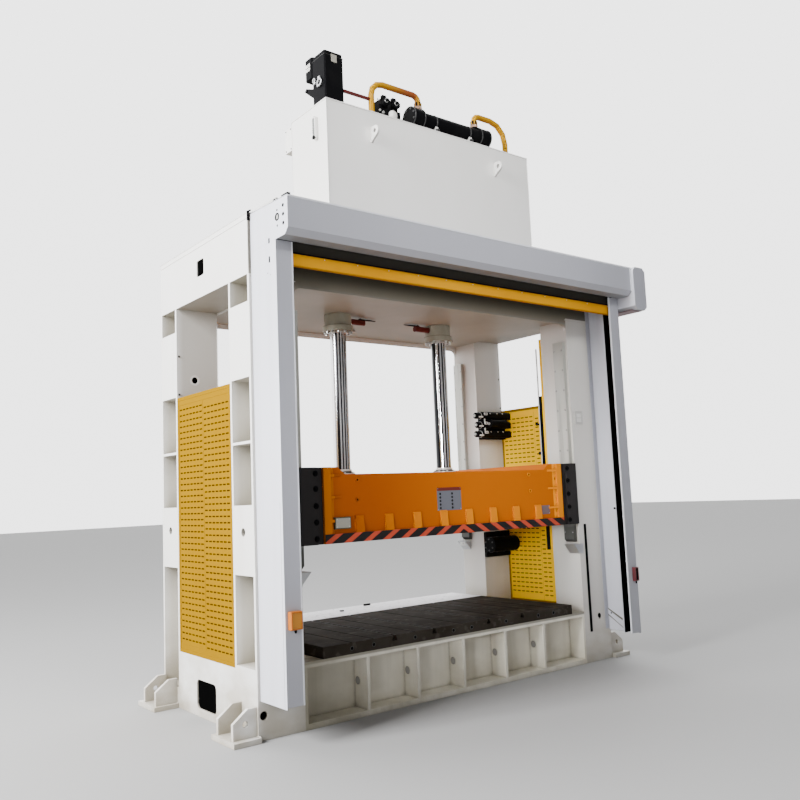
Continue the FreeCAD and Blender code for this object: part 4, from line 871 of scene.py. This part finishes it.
def add_bar_details():
    """A dark clamp strip along the top of the bar, and screws along it."""
    Piece("bar_clamp_strip", BLACK, "shutter_bar", 0.001).box(
        (-BAR_X, BAR_FRONT_Y - 0.0015, BAR_HIGH - 0.010), (BAR_X, BAR_FRONT_Y + 0.012, BAR_HIGH + 0.0015))
    Piece("bar_screws", ZINC, "shutter_bar").many(Piece.rod, (
        ("y", (step * BAR_SCREW_PITCH, BAR_FRONT_Y + 0.001, BAR_SCREW_Z), BAR_FRONT_Y - 0.0012, 0.0045, 12)
        for step in range(-6, 7)))


SENSOR_BACK_Y = -1.178
SENSOR_RIM = 0.006
SENSOR_INSET = 0.003
SENSOR_BAND = 0.011


def add_sensor(name, finish, window, x0, x1, z0, z1, face):
    """A light sensor: a housing with a raised frame, a darker window and a cable gland below."""
    node = "light_sensors"
    back = face + SENSOR_RIM
    Piece(name + "_housing", finish, ease=0.005, stands_for=node).box(
        (x0, SENSOR_BACK_Y, z0), (x1, back, z1))
    Piece(name + "_rim", finish, ease=0.0015, stands_for=node).border(
        (x0 + SENSOR_INSET, face, z0 + SENSOR_INSET), (x1 - SENSOR_INSET, back, z1 - SENSOR_INSET), 0,
        SENSOR_BAND - SENSOR_INSET)
    Piece(name + "_window", window, stands_for=node).box(
        (x0 + SENSOR_BAND, face + 0.004, z0 + SENSOR_BAND),
        (x1 - SENSOR_BAND, face + 0.007, z1 - SENSOR_BAND))
    middle = ((x0 + x1) / 2, (SENSOR_BACK_Y + face) / 2)
    Piece(name + "_gland", BLACK, ease=0.001, stands_for=node).rod(
        "z", (*middle, z0), z0 - 0.016, 0.009, 6).rod("z", (*middle, z0 - 0.015), z0 - 0.022, 0.007, 20)


# ---------------------------------------------------------------- rails, switches and valves
RAIL_FACE_X = 1.474
RAIL_SCREW_LOW = 1.20
RAIL_SCREW_PITCH = 0.193
RAIL_SCREWS = 10
RAIL_SCREW_Y = (0.6825, 0.7775)


def add_rail_screws():
    """Countersunk screws along both edges of each guide rail."""
    sinks = Piece("rail_screw_sinks", BLACK_MATT)
    heads = Piece("rail_screw_heads", ZINC)
    places = [(end * y, RAIL_SCREW_LOW + index * RAIL_SCREW_PITCH)
              for end in SIDES for y in RAIL_SCREW_Y for index in range(RAIL_SCREWS)]
    for side in SIDES:
        face = side * (RAIL_FACE_X - SKIN)
        for y, z in places:
            sinks.rod("x", (side * (RAIL_FACE_X + SKIN), y, z), face, 0.0085, 18)
            heads.ring((face, y, z), (-side, 0, 0), 0.0060, 0.0030, 0.0008, 12)


LIMIT_X = 1.556
LIMIT_LOW = 1.030
LIMIT_HIGH = 2.540
LIMIT_LIP_TOP = 3.02
LIMIT_KNOBS = ((-0.332, 2.265), (-0.352, 1.971))


def add_limit_switches():
    """A black channel for the limit switches, its bright lip, a yellow strip and small ring knobs."""
    Piece("limit_channel", BLACK, ease=0.001).many(Piece.box, (
        ((LIMIT_X - 0.006, -0.485, LIMIT_LOW), (LIMIT_X + 0.002, -0.372, LIMIT_HIGH)),
        ((LIMIT_X + 0.002, -0.380, LIMIT_LOW), (LIMIT_X + 0.034, -0.372, LIMIT_HIGH))))
    Piece("limit_lip", ZINC).many(Piece.box, (
        ((LIMIT_X - 0.0075, -0.381, 1.70), (LIMIT_X - 0.006, -0.3715, LIMIT_LIP_TOP)),
        ((LIMIT_X - 0.0065, -0.381, LIMIT_HIGH), (LIMIT_X + 0.004, -0.372, LIMIT_LIP_TOP))))
    Piece("limit_yellow_strip", YELLOW_BRIGHTENED_FOR_SHADE, ease=0.001).box((1.516, -0.4855, 0.56), (1.524, -0.452, 3.10))
    knobs = Piece("limit_knobs", BLACK, ease=0.001)
    arms = Piece("limit_arms", ZINC)
    for y, z in LIMIT_KNOBS:
        knobs.ring((LIMIT_X - 0.010, y, z), RIGHT, 0.016, 0.007, 0.014, 24)
        knobs.box((LIMIT_X - 0.004, -0.382, z - 0.016), (LIMIT_X + 0.030, y - 0.014, z + 0.006))
        arms.box((LIMIT_X + 0.002, -0.378, z - 0.004), (LIMIT_X + 0.006, y - 0.010, z + 0.004))
    Piece("channel_knob", BLACK, ease=0.001).rod("y", (1.700, -1.0985, 1.411), -1.108, 0.011, 20, 0.009)


VALVE_FACE_Y = 0.336
VALVE_Y = 0.385
VALVE_HEIGHTS = (2.222, 2.320, 2.418)
VALVE_REACH = (1.385, 1.401, 1.385)
VALVE_BOLT_X = (1.56, 1.66, 1.74)
COIL_Y = VALVE_FACE_Y - 0.022
COIL_Z = 2.330


def add_column_valves():
    """Bright caps, plates and screws on the valve block of the rear right column, and its round coil."""
    caps = Piece("valve_caps", ZINC, ease=0.001)
    plates = Piece("valve_plates", PALE, ease=0.001)
    coils = Piece("valve_coils", BLACK, ease=0.003, smooth=True)
    dark = Piece("valve_plate_gaps", BLACK_MATT)
    for reach, z in zip(VALVE_REACH, VALVE_HEIGHTS):
        coils.rod("x", (1.457, VALVE_Y, z), reach, 0.034, 24)
        caps.rod("x", (reach, VALVE_Y, z), reach - 0.016, 0.014, 6)
        caps.ring((1.452, VALVE_Y, z), LEFT, 0.037, 0.033, 0.008, 28)
        plates.box((1.400, VALVE_FACE_Y - 0.004, z - 0.022), (1.452, VALVE_FACE_Y + 0.008, z - 0.008))
        plates.box((1.470, VALVE_FACE_Y - 0.006, z + 0.004), (1.515, VALVE_FACE_Y + 0.001, z + 0.030))
        dark.box((1.484, VALVE_FACE_Y - 0.0075, z + 0.010), (1.502, VALVE_FACE_Y - 0.005, z + 0.023))
        for x in VALVE_BOLT_X:
            caps.bolt((x, VALVE_FACE_Y + 0.004, z + 0.022), FORWARD, 0.007, 0.010)
    coils.rod("x", (1.535, COIL_Y, COIL_Z), 1.760, 0.040, 28)
    coils.rod("x", (1.520, COIL_Y, COIL_Z), 1.536, 0.046, 28)
    caps.rod("x", (1.508, COIL_Y, COIL_Z), 1.521, 0.015, 6)
    caps.rod("z", (1.490, 0.352, 2.196), 2.444, 0.007, 14)


LOCK_Y = 0.393
LOCK_Z = 1.056
LOCK_RINGS = (1.516, 1.600, 1.700)
RAIL_END_BOXES = (((1.440, 0.70, 1.085), (1.474, 0.78, 1.091)), ((1.440, 0.70, 1.045), (1.446, 0.78, 1.091)))


def add_lock_details():
    """Flange rings and screws on the lock cylinder, and a bright bracket below the rear right rail."""
    Piece("lock_rings", DARK_STEEL, ease=0.001, smooth=True).many(Piece.ring, (
        ((x, LOCK_Y, LOCK_Z), RIGHT, 0.0815, 0.077, 0.010, 40) for x in LOCK_RINGS))
    Piece("lock_screws", DARK_STEEL).bolt_circle((1.4995, LOCK_Y, LOCK_Z), LEFT, 6, 0.058, 0.007, 0.008)
    Piece("rail_end_bracket", ZINC, ease=0.001).many(Piece.box, RAIL_END_BOXES).rod(
        "x", (1.430, 0.74, 1.068), 1.440, 0.010, 6)


SWITCH_X = (1.559, 1.664)
SWITCH_Z = (2.221, 2.344)
SWITCH_Y = -0.822
SWITCH_BAND = 0.012
ROCKER_X = (SWITCH_X[0] + 0.022, SWITCH_X[1] - 0.022)
ROCKER_Z = (SWITCH_Z[0] + 0.020, SWITCH_Z[1] - 0.020)
ROCKER_GAP = 0.003


def add_switch_details():
    """A raised frame and two light rockers on the switch plate, and a dark backing of the encoder strip."""
    Piece("switch_frame", PLASTIC_GREY, ease=0.002).border(
        (SWITCH_X[0], SWITCH_Y, SWITCH_Z[0]), (SWITCH_X[1], SWITCH_Y - 0.005, SWITCH_Z[1]), 0, SWITCH_BAND)
    middle = sum(SWITCH_Z) / 2
    Piece("switch_rockers", PALE, ease=0.001).many(Piece.box, (
        ((ROCKER_X[0], SWITCH_Y, low), (ROCKER_X[1], SWITCH_Y - 0.003, high))
        for low, high in ((ROCKER_Z[0], middle - ROCKER_GAP), (middle + ROCKER_GAP, ROCKER_Z[1]))))
    Piece("encoder_backing", BLACK, ease=0.0006).box((1.5865, -0.8165, 0.274), (1.6195, -0.8195, 1.272))


# ---------------------------------------------------------------- crown, columns, bed and feet
CROWN_LOW = 3.232
CROWN_EDGE_Z = 3.660
CROWN_TOP = 3.697
CABLE_HOLE_X = -1.725
CABLE_HOLE_Z = 2.649
SCREW_HEIGHTS = (2.844, 2.523, 2.20)
BEAD = 0.0035
FOOT_BEAD = 0.005
CLIP_BOXES = (((-1.889, -0.822, 3.640), (-1.872, -0.808, 3.712)),
              ((-1.889, -0.860, 3.698), (-1.878, -0.808, 3.708)))


def add_frame_details():
    """Black sheets of painted shade behind the openings, screws, weld seams, the crown's pale top edge and a
    cable hole drawn as a black disc of painted shade.
    """
    dark = Piece("shade_behind_openings", BLACK_MATT)
    screws = Piece("column_screws", DARK_STEEL)
    welds = Piece("weld_seams", CREAM, smooth=True)
    edge = Piece("crown_top_edge", PALE, ease=0.001)
    for side in SIDES:
        window, room = side * (FRAME_X - 0.009), side * (FRAME_X - 0.012)
        dark.box((window, -0.10, 3.39), (window - side * 0.002, 0.10, 3.58))
        dark.box((room, -0.20, 0.045), (room - side * 0.003, 0.20, 0.30))
        for z in SCREW_HEIGHTS:
            screws.bolt((side * 1.866, COLUMN_INNER_Y, z), FORWARD, 0.007, 0.006)
        welds.rod("y", (side * FRAME_X, -0.80, CROWN_EDGE_Z), 0.80, BEAD, 8)
        welds.rod("x", (-1.88, side * FRAME_Y, CROWN_EDGE_Z), 1.88, BEAD, 8)
        for end in SIDES:
            welds.rod("x", (side * 1.50, end * FRAME_Y, CROWN_LOW), side * 1.88, BEAD, 8)
            welds.rod("z", (side * 1.5155, end * 0.487, 0.47), 3.15, BEAD, 8)
            welds.rod("z", (side * 1.5145, end * 0.812, 0.47), 1.10, BEAD, 8)
            welds.rod("y", (side * (FRAME_X + SKIN), end * 0.520, 0.037), end * 0.855, FOOT_BEAD, 8)
        edge.box((side * (FRAME_X - 0.004), -FRAME_Y, CROWN_TOP), (side * (FRAME_X + 0.003), FRAME_Y, 3.7015))
    dark.rod("y", (CABLE_HOLE_X, 0.500, CABLE_HOLE_Z), 0.520, 0.050, 32)
    dark.rod("y", (1.728, -0.8155, 0.410), -0.8175, 0.021, 28)
    edge.box((-FRAME_X, -0.819, CROWN_TOP), (FRAME_X, -0.812, 3.7015))
    Piece("cable_hole_collar", CREAM, ease=0.001, smooth=True).ring(
        (CABLE_HOLE_X, 0.4855, CABLE_HOLE_Z), REARWARD, 0.0449, 0.027, 0.012)
    Piece("crown_corner_clip", BLACK, ease=0.002).many(Piece.box, CLIP_BOXES)


RIB_PLACES = (-0.96, -0.48, 0.0, 0.48, 0.96)
RIB_HALF = 0.0125
PLUG_Y = 0.691
PLUG_Z = 0.238
BOLSTER_FACE_Y = -0.814
THREAD_PLACES = (0.10, 0.50, 0.90, 1.10)
THREAD_Z = 0.506
BOLSTER_SLOTS = (-0.70, -0.30, 0.30, 0.70)
BOLSTER_SEAMS = (-1.10, -0.90, -0.50, 0.0, 0.50, 0.90, 1.10)
SLOT_HALF = 0.014
SLOT_EDGE = 0.006
SEAM_HALF = 0.005
DECK_TOP = 0.549
DECK_BOXES = (((0.150, 0.790, DECK_TOP), (0.225, 0.812, 0.566)),
              ((-0.225, 0.640, DECK_TOP), (-0.190, 0.668, 0.560)))
DECK_SCREW_Y = (0.42, 0.84)
DECK_SCREW_PITCH = 0.36


def add_bed_details():
    """Filled lifting holes in the ribs, threads and seams of the bolster, and small things on the deck."""
    rims = Piece("rib_plug_rims", BED_CREAM, ease=0.0008, smooth=True)
    plugs = Piece("rib_plugs", PLUG_GREY)
    gaps = Piece("rib_plug_gaps", SEAM_BROWN)
    for side in SIDES:
        for x in RIB_PLACES:
            face = x + side * RIB_HALF
            for end in SIDES:
                centre = (face, end * PLUG_Y, PLUG_Z)
                rims.ring(centre, (side, 0, 0), 0.036, 0.030, 0.003, 36)
                gaps.ring(centre, (side, 0, 0), 0.0302, 0.0262, 0.0014, 36)
                plugs.rod("x", centre, face + side * 0.0022, 0.0264, 30)
    threads = Piece("bolster_threads", BLACK_MATT)
    rims = Piece("bolster_thread_rims", DARK_STEEL)
    worn = Piece("bolster_slot_edges", WORN_STEEL)
    low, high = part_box("bolster")
    front, rear = low.y + 0.002, high.y - 0.002
    for side in SIDES:
        for x in THREAD_PLACES:
            threads.rod("y", (side * x, BOLSTER_FACE_Y + SKIN, THREAD_Z), BOLSTER_FACE_Y - SKIN, 0.012, 20)
            rims.ring((side * x, BOLSTER_FACE_Y, THREAD_Z), FORWARD, 0.0165, 0.0122, 0.0015, 24)
        for x in BOLSTER_SLOTS:
            edge = x + side * SLOT_HALF
            worn.box((edge, front, high.z - SKIN), (edge + side * SLOT_EDGE, rear, high.z + 0.0005))
    Piece("bolster_seams", BLACK_MATT).many(Piece.box, (
        ((x - SEAM_HALF, front, high.z - SKIN), (x + SEAM_HALF, rear, high.z + 0.0004))
        for x in BOLSTER_SEAMS))
    Piece("deck_oddments", BLACK, ease=0.003).many(Piece.box, DECK_BOXES)
    Piece("deck_screws", ZINC).many(Piece.rod, (
        ("z", ((step - 3.5) * DECK_SCREW_PITCH, y, DECK_TOP), 0.5515, 0.008, 16, 0.005)
        for step in range(8) for y in DECK_SCREW_Y))


# ---------------------------------------------------------------- tank top: motor, pipes, cooler, gauge
TANK_TOP = 4.793
TANK_SEAT = TANK_TOP + 0.0005
TANK_X = 1.147
TANK_FRONT = -0.779
TANK_REAR = -0.242
MOTOR_SIDE_X = -1.090
MOTOR_SEAMS = (4.830, 5.224)
CONNECTOR_BOXES = (((-1.0905, -0.470, 5.175), (-1.0925, -0.405, 5.200)),
                   ((-1.0905, -0.470, 5.208), (-1.0925, -0.405, 5.236)))
CONNECTOR_LINES = (5.184, 5.216, 5.227)
EYE_RINGS = (((-1.098, -0.622, 5.000), LEFT, 0.034, 0.020, 0.010, 32),
             ((-1.098, -0.545, 5.045), LEFT, 0.020, 0.009, 0.010, 28))
EYE_BOXES = (((-1.108, -0.630, 5.030), (MOTOR_SIDE_X, -0.606, 5.052)),
             ((-1.104, -0.600, 4.972), (MOTOR_SIDE_X, -0.584, 5.020)),
             ((-1.106, -0.562, 5.010), (MOTOR_SIDE_X, -0.535, 5.030)))
FLANGE_BOLTS = [(x, y, 4.813) for x in (-1.085, -0.910) for y in (-0.685, -0.505)]


def add_motor_details():
    """Bare plates, two bright eyes, seams and the bolts of the motor's flange."""
    front_plate("motor_plate", "frame", -1.024, -0.970, 5.172, 5.238, -0.690, PLATE_LIGHT, rivets=False)
    Piece("connector_plate", PALE, ease=0.0004).many(Piece.box, CONNECTOR_BOXES)
    Piece("connector_plate_lines", BLACK).many(Piece.box, (
        ((-1.0922, -0.462, z), (-1.0932, -0.425, z + 0.004)) for z in CONNECTOR_LINES))
    Piece("motor_eyes", SHEET_STEEL, ease=0.002, smooth=True).many(Piece.ring, EYE_RINGS).many(
        Piece.box, EYE_BOXES)
    Piece("motor_seams", DARK_STEEL).many(Piece.box, (
        ((-1.0912, -0.6912, z), (-0.9038, -0.4988, z + 0.0025)) for z in MOTOR_SEAMS))
    Piece("motor_flange_bolts", ZINC).many(Piece.bolt, ((seat, UP, 0.008, 0.009) for seat in FLANGE_BOLTS))


PIPE_LINE_Y = -0.680
COOLER_Z = 4.903
COOLER_RADIUS = 0.075
COOLER_REACH = 0.074
COOLER_ENDS = ((-0.215, LEFT), (0.700, RIGHT))
COOLER_HEADS = (-0.216, -0.105, 0.580, 0.692)
COOLER_STRAPS = (0.050, 0.455)
TANK_PIPES = (-0.622, 0.963)
COOLER_PORTS = (-0.109, 0.565)


def add_pipe_details():
    """Dark nuts and bronze unions where the pipes end, and the straps, rims and bolts of the cooler."""
    nuts = Piece("pipe_nuts", BLACK, ease=0.0015)
    unions = Piece("pipe_unions", BRONZE, ease=0.0015)
    for x in TANK_PIPES:
        nuts.rod("z", (x, PIPE_LINE_Y, TANK_SEAT), 4.800, 0.0345, 28)
    for x in COOLER_PORTS:
        nuts.rod("z", (x, PIPE_LINE_Y, 5.020), 5.056, 0.0348, 6)
        unions.rod("z", (x, PIPE_LINE_Y, 4.992), 5.021, 0.0375, 6)
    straps = Piece("cooler_straps", DARK_STEEL, ease=0.001, smooth=True)
    for x in COOLER_STRAPS:
        straps.ring((x - 0.006, PIPE_LINE_Y, COOLER_Z), RIGHT, COOLER_RADIUS + 0.0025, COOLER_RADIUS - 0.001,
                    0.012, 48)
        for side in SIDES:
            y = PIPE_LINE_Y + side * COOLER_REACH
            straps.box((x - 0.016, y - 0.008, TANK_SEAT), (x + 0.016, y + 0.008, 4.830))
    Piece("cooler_head_rims", DARK_STEEL, ease=0.001, smooth=True).many(Piece.ring, (
        ((x, PIPE_LINE_Y, COOLER_Z), RIGHT, 0.0945, 0.091, 0.010, 56) for x in COOLER_HEADS))
    Piece("cooler_bolts", DARK_STEEL).many(Piece.bolt_circle, (
        ((x, PIPE_LINE_Y, COOLER_Z), outward, 8, COOLER_REACH, 0.007, 0.008) for x, outward in COOLER_ENDS))


SOLENOID_X = (-0.545, -0.440)
SOLENOID_Z = 4.922
BLOCK_FRONT_Y = -0.735
PLUG_RODS = ((-0.580, 4.850, 0.010), (-0.545, 4.838, 0.012))
FILTER_X = -0.447
FILTER_Z = 4.834
FILTER_STEPS = ((BLOCK_FRONT_Y, -0.756, 0.040, 0.040), (-0.756, -0.768, 0.040, 0.026),
                (-0.768, -0.772, 0.026, 0.010))


def add_manifold_details():
    """Round coils, their nuts and plugs, and the bright dome of the filter in front."""
    coils = Piece("solenoid_coils", BLACK, ease=0.002, smooth=True)
    nuts = Piece("solenoid_nuts", ZINC, ease=0.0008)
    for x in SOLENOID_X:
        coils.rod("y", (x, -0.776, SOLENOID_Z), -0.790, 0.030, 28, 0.026)
        coils.rod("y", (x, -0.790, SOLENOID_Z), -0.806, 0.013, 6)
        coils.box((x - 0.020, -0.765, SOLENOID_Z + 0.028), (x + 0.020, BLOCK_FRONT_Y, SOLENOID_Z + 0.058))
        nuts.ring((x, -0.790, SOLENOID_Z), FORWARD, 0.019, 0.012, 0.003, 24)
        for side in SIDES:
            nuts.bolt((x + side * 0.024, -0.700, 4.963), UP, 0.006, 0.008)
    coils.box((-0.596, -0.752, 4.86), (-0.570, BLOCK_FRONT_Y, 4.90))
    for x, z, radius in PLUG_RODS:
        nuts.rod("y", (x, BLOCK_FRONT_Y, z), -0.748, radius, 6)
    Piece("filter_dome", PALE, ease=0.001, smooth=True).many(Piece.rod, (
        ("y", (FILTER_X, start, FILTER_Z), end, radius, 32, end_radius)
        for start, end, radius, end_radius in FILTER_STEPS)).box(
        (-0.500, -0.742, TANK_SEAT), (-0.398, BLOCK_FRONT_Y, 4.812))
    Piece("pilot_line", BLACK, smooth=True).rod("x", (-0.375, -0.770, 4.7995), -0.225, 0.006, 12)


GAUGE_Y = -0.630
GAUGE_TICKS = 9
GAUGE_TICK_LOW = 4.532
GAUGE_TICK_PITCH = 0.0145


def add_gauge_details():
    """A clear tube with dark ticks in the gauge's channel, and its round lower end."""
    Piece("gauge_tube", GLASS_GREY, smooth=True).rod("z", (-1.175, GAUGE_Y, 4.520), 4.664, 0.010, 20)
    ticks = Piece("gauge_ticks", BLACK, ease=0.0006)
    for index in range(GAUGE_TICKS):
        z = GAUGE_TICK_LOW + index * GAUGE_TICK_PITCH
        ticks.box((-1.1862, GAUGE_Y - 0.007, z), (-1.1835, GAUGE_Y + 0.007, z + 0.0045))
    ticks.rod("x", (-1.168, GAUGE_Y, 4.506), -1.184, 0.0165, 28)
    ticks.box((-1.1765, GAUGE_Y - 0.024, 4.497), (-1.170, GAUGE_Y + 0.024, 4.500))
    Piece("gauge_caps", PALE, ease=0.0008).rod("x", (-1.170, GAUGE_Y, 4.671), -1.183, 0.013, 6)


RIM_OUT = 0.003
RIM_LOW = TANK_TOP - 0.010
RIM_HIGH = TANK_TOP + 0.0006
TANK_BEAD = 0.003
LUG_X = 0.705
LUG_HALF = 0.0105
BOX_SCREWS = [(-1.147, y, z) for y in (-0.225, -0.146) for z in (4.565, 4.739)]


def add_tank_details():
    """The folded rim of the lid, the weld seams of corners and lifting lugs, and the valve box's screws."""
    rim = Piece("tank_rim", TANK_CREAM, ease=0.0012)
    welds = Piece("tank_welds", TANK_CREAM, smooth=True)
    for y, out in ((TANK_FRONT, -RIM_OUT), (TANK_REAR, RIM_OUT)):
        rim.box((-TANK_X - RIM_OUT, y + out, RIM_LOW), (TANK_X + RIM_OUT, y, RIM_HIGH))
        for side in SIDES:
            welds.rod("z", (side * TANK_X, y, 3.705), TANK_TOP - 0.012, TANK_BEAD, 8)
    for side in SIDES:
        rim.box((side * TANK_X, TANK_FRONT, RIM_LOW), (side * (TANK_X + RIM_OUT), TANK_REAR, RIM_HIGH))
        for edge in SIDES:
            seam = (side * LUG_X + edge * LUG_HALF, TANK_FRONT - SKIN, 4.516)
            welds.rod("z", seam, 4.640, TANK_BEAD, 8)
    Piece("valve_box_screws", DARK_STEEL).many(Piece.bolt, (
        (seat, LEFT, 0.005, 0.004) for seat in BOX_SCREWS))


# ---------------------------------------------------------------- stage, light and camera
FLOOR_REACH = 60
FLOOR_GREY = (0.36, 0.36, 0.36)


def add_stage():
    data = bpy.data.meshes.new("floor")
    corners = [(x * FLOOR_REACH, y * FLOOR_REACH, -SKIN) for x, y in ((-1, -1), (1, -1), (1, 1), (-1, 1))]
    data.from_pydata(corners, [], [(0, 1, 2, 3)])
    data.materials.append(finish_of("floor", FLOOR_GREY, 0.7, gloss=0.1, peel=0.0, edge=0))
    floor = bpy.data.objects.new("floor", data)
    bpy.context.scene.collection.objects.link(floor)


WORLD_BACK = 3.4
WORLD_FRONT = 0.22
WORLD_TOP = 0.20
WORLD_BRIGHT_SIDE = (0.25, 0.95, 0.15)
WORLD_BACK_EDGES = (0.15, 0.55)
WORLD_TOP_EDGES = (0.3, 1.0)


def add_world():
    """A studio that is bright behind the press, dimmer in front of it and a little brighter above."""
    world = bpy.data.worlds.new("studio")
    bpy.context.scene.world = world
    world.use_nodes = True
    tree = world.node_tree
    background = tree.nodes["Background"]
    background.inputs["Color"].default_value = (1, 1, 1, 1)
    view = add_node(tree, "TexCoord", "Generated")
    turned = add_node(tree, "VectorMath", "Value", {0: view, 1: WORLD_BRIGHT_SIDE}, operation="DOT_PRODUCT")
    behind = map_range(tree, turned, *WORLD_BACK_EDGES, "SMOOTHSTEP")
    above = map_range(tree, along_axis(tree, view, "Z"), *WORLD_TOP_EDGES)
    total = add_node(tree, "Math", "Value", {0: product(tree, behind, WORLD_BACK - WORLD_FRONT),
                                             1: product(tree, above, WORLD_TOP)}, operation="ADD")
    lifted = add_node(tree, "Math", "Value", {0: total, 1: WORLD_FRONT}, operation="ADD")
    tree.links.new(lifted, background.inputs["Strength"])


KEY_PLACES_Y = (-2.8, -1.0, 0.8)
WHOLE_SPREAD = 180
LIGHTS = [("key_" + str(index), (-12, y, 7.0), (-1.5, 0, 3.0), (1.6, 6), 1750, WHOLE_SPREAD)
          for index, y in enumerate(KEY_PLACES_Y)] + [
    ("front_fill", (-2.5, -9.5, 9.0), (0, 0, 3.2), (3, 3), 22, WHOLE_SPREAD),
    ("top_fill", (-0.5, -7.5, 7.0), (0, -0.8, 4.4), (2.5, 1.5), 50, 50),
    ("inner_fill", (-7.5, -5.5, 2.4), (1.8, 0.1, 1.6), (1, 1.6), 13, 22)]


def add_area_light(name, place, target, size, power, spread):
    """A rectangular lamp at a place that faces a target, with its spread in degrees."""
    light = bpy.data.lights.new(name, "AREA")
    light.shape = "RECTANGLE"
    light.size, light.size_y = size
    light.energy = power
    light.spread = math.radians(spread)
    lamp = bpy.data.objects.new(name, light)
    lamp.location = place
    lamp.rotation_euler = (Vector(target) - Vector(place)).to_track_quat("-Z", "Y").to_euler()
    bpy.context.scene.collection.objects.link(lamp)


CAMERA_PLACE = (-4.6552, -6.0666, 1.6208)
CAMERA_YAW = math.radians(37.993)
CAMERA_PITCH = math.radians(6.470)
CAMERA_ROLL = math.radians(2.400)
FOCAL_PIXELS = 832.92
PICTURE_PIXELS = 800
SENSOR_WIDTH = 36.0


def add_camera():
    """The photo's own camera, solved from the edges of the press."""
    camera = bpy.data.cameras.new("camera")
    camera.sensor_width = SENSOR_WIDTH
    camera.lens = FOCAL_PIXELS / PICTURE_PIXELS * SENSOR_WIDTH
    forward = Vector((math.sin(CAMERA_YAW) * math.cos(CAMERA_PITCH),
                      math.cos(CAMERA_YAW) * math.cos(CAMERA_PITCH), math.sin(CAMERA_PITCH)))
    level = Vector((math.cos(CAMERA_YAW), -math.sin(CAMERA_YAW), 0))
    upright = level.cross(forward)
    across = level * math.cos(CAMERA_ROLL) - upright * math.sin(CAMERA_ROLL)
    up = level * math.sin(CAMERA_ROLL) + upright * math.cos(CAMERA_ROLL)
    holder = bpy.data.objects.new("camera", camera)
    holder.matrix_world = Matrix((across, up, -forward)).transposed().to_4x4()
    holder.location = CAMERA_PLACE
    bpy.context.scene.collection.objects.link(holder)
    bpy.context.scene.camera = holder


# ---------------------------------------------------------------- the whole scene
for side in SIDES:
    add_guard(side)
for add_details in (add_stripes, add_slide_details, add_rod_details, add_curtain, add_roll,
                    add_header_details, add_post_details, add_bar_details):
    add_details()
add_sensor("sensor_left", SENSOR_ORANGE, SENSOR_AMBER, -1.846, -1.757, 0.768, 0.888, -1.226)
add_sensor("sensor_right", SENSOR_RED, BLACK, 1.793, 1.846, 0.740, 0.868, -1.216)
for add_details in (add_rail_screws, add_limit_switches, add_column_valves, add_lock_details,
                    add_switch_details, add_frame_details, add_bed_details, add_motor_details,
                    add_pipe_details, add_manifold_details, add_gauge_details, add_tank_details):
    add_details()
for piece in list(Piece.waiting):
    piece.done()

add_stage()
add_world()
for row in LIGHTS:
    add_area_light(*row)
add_camera()
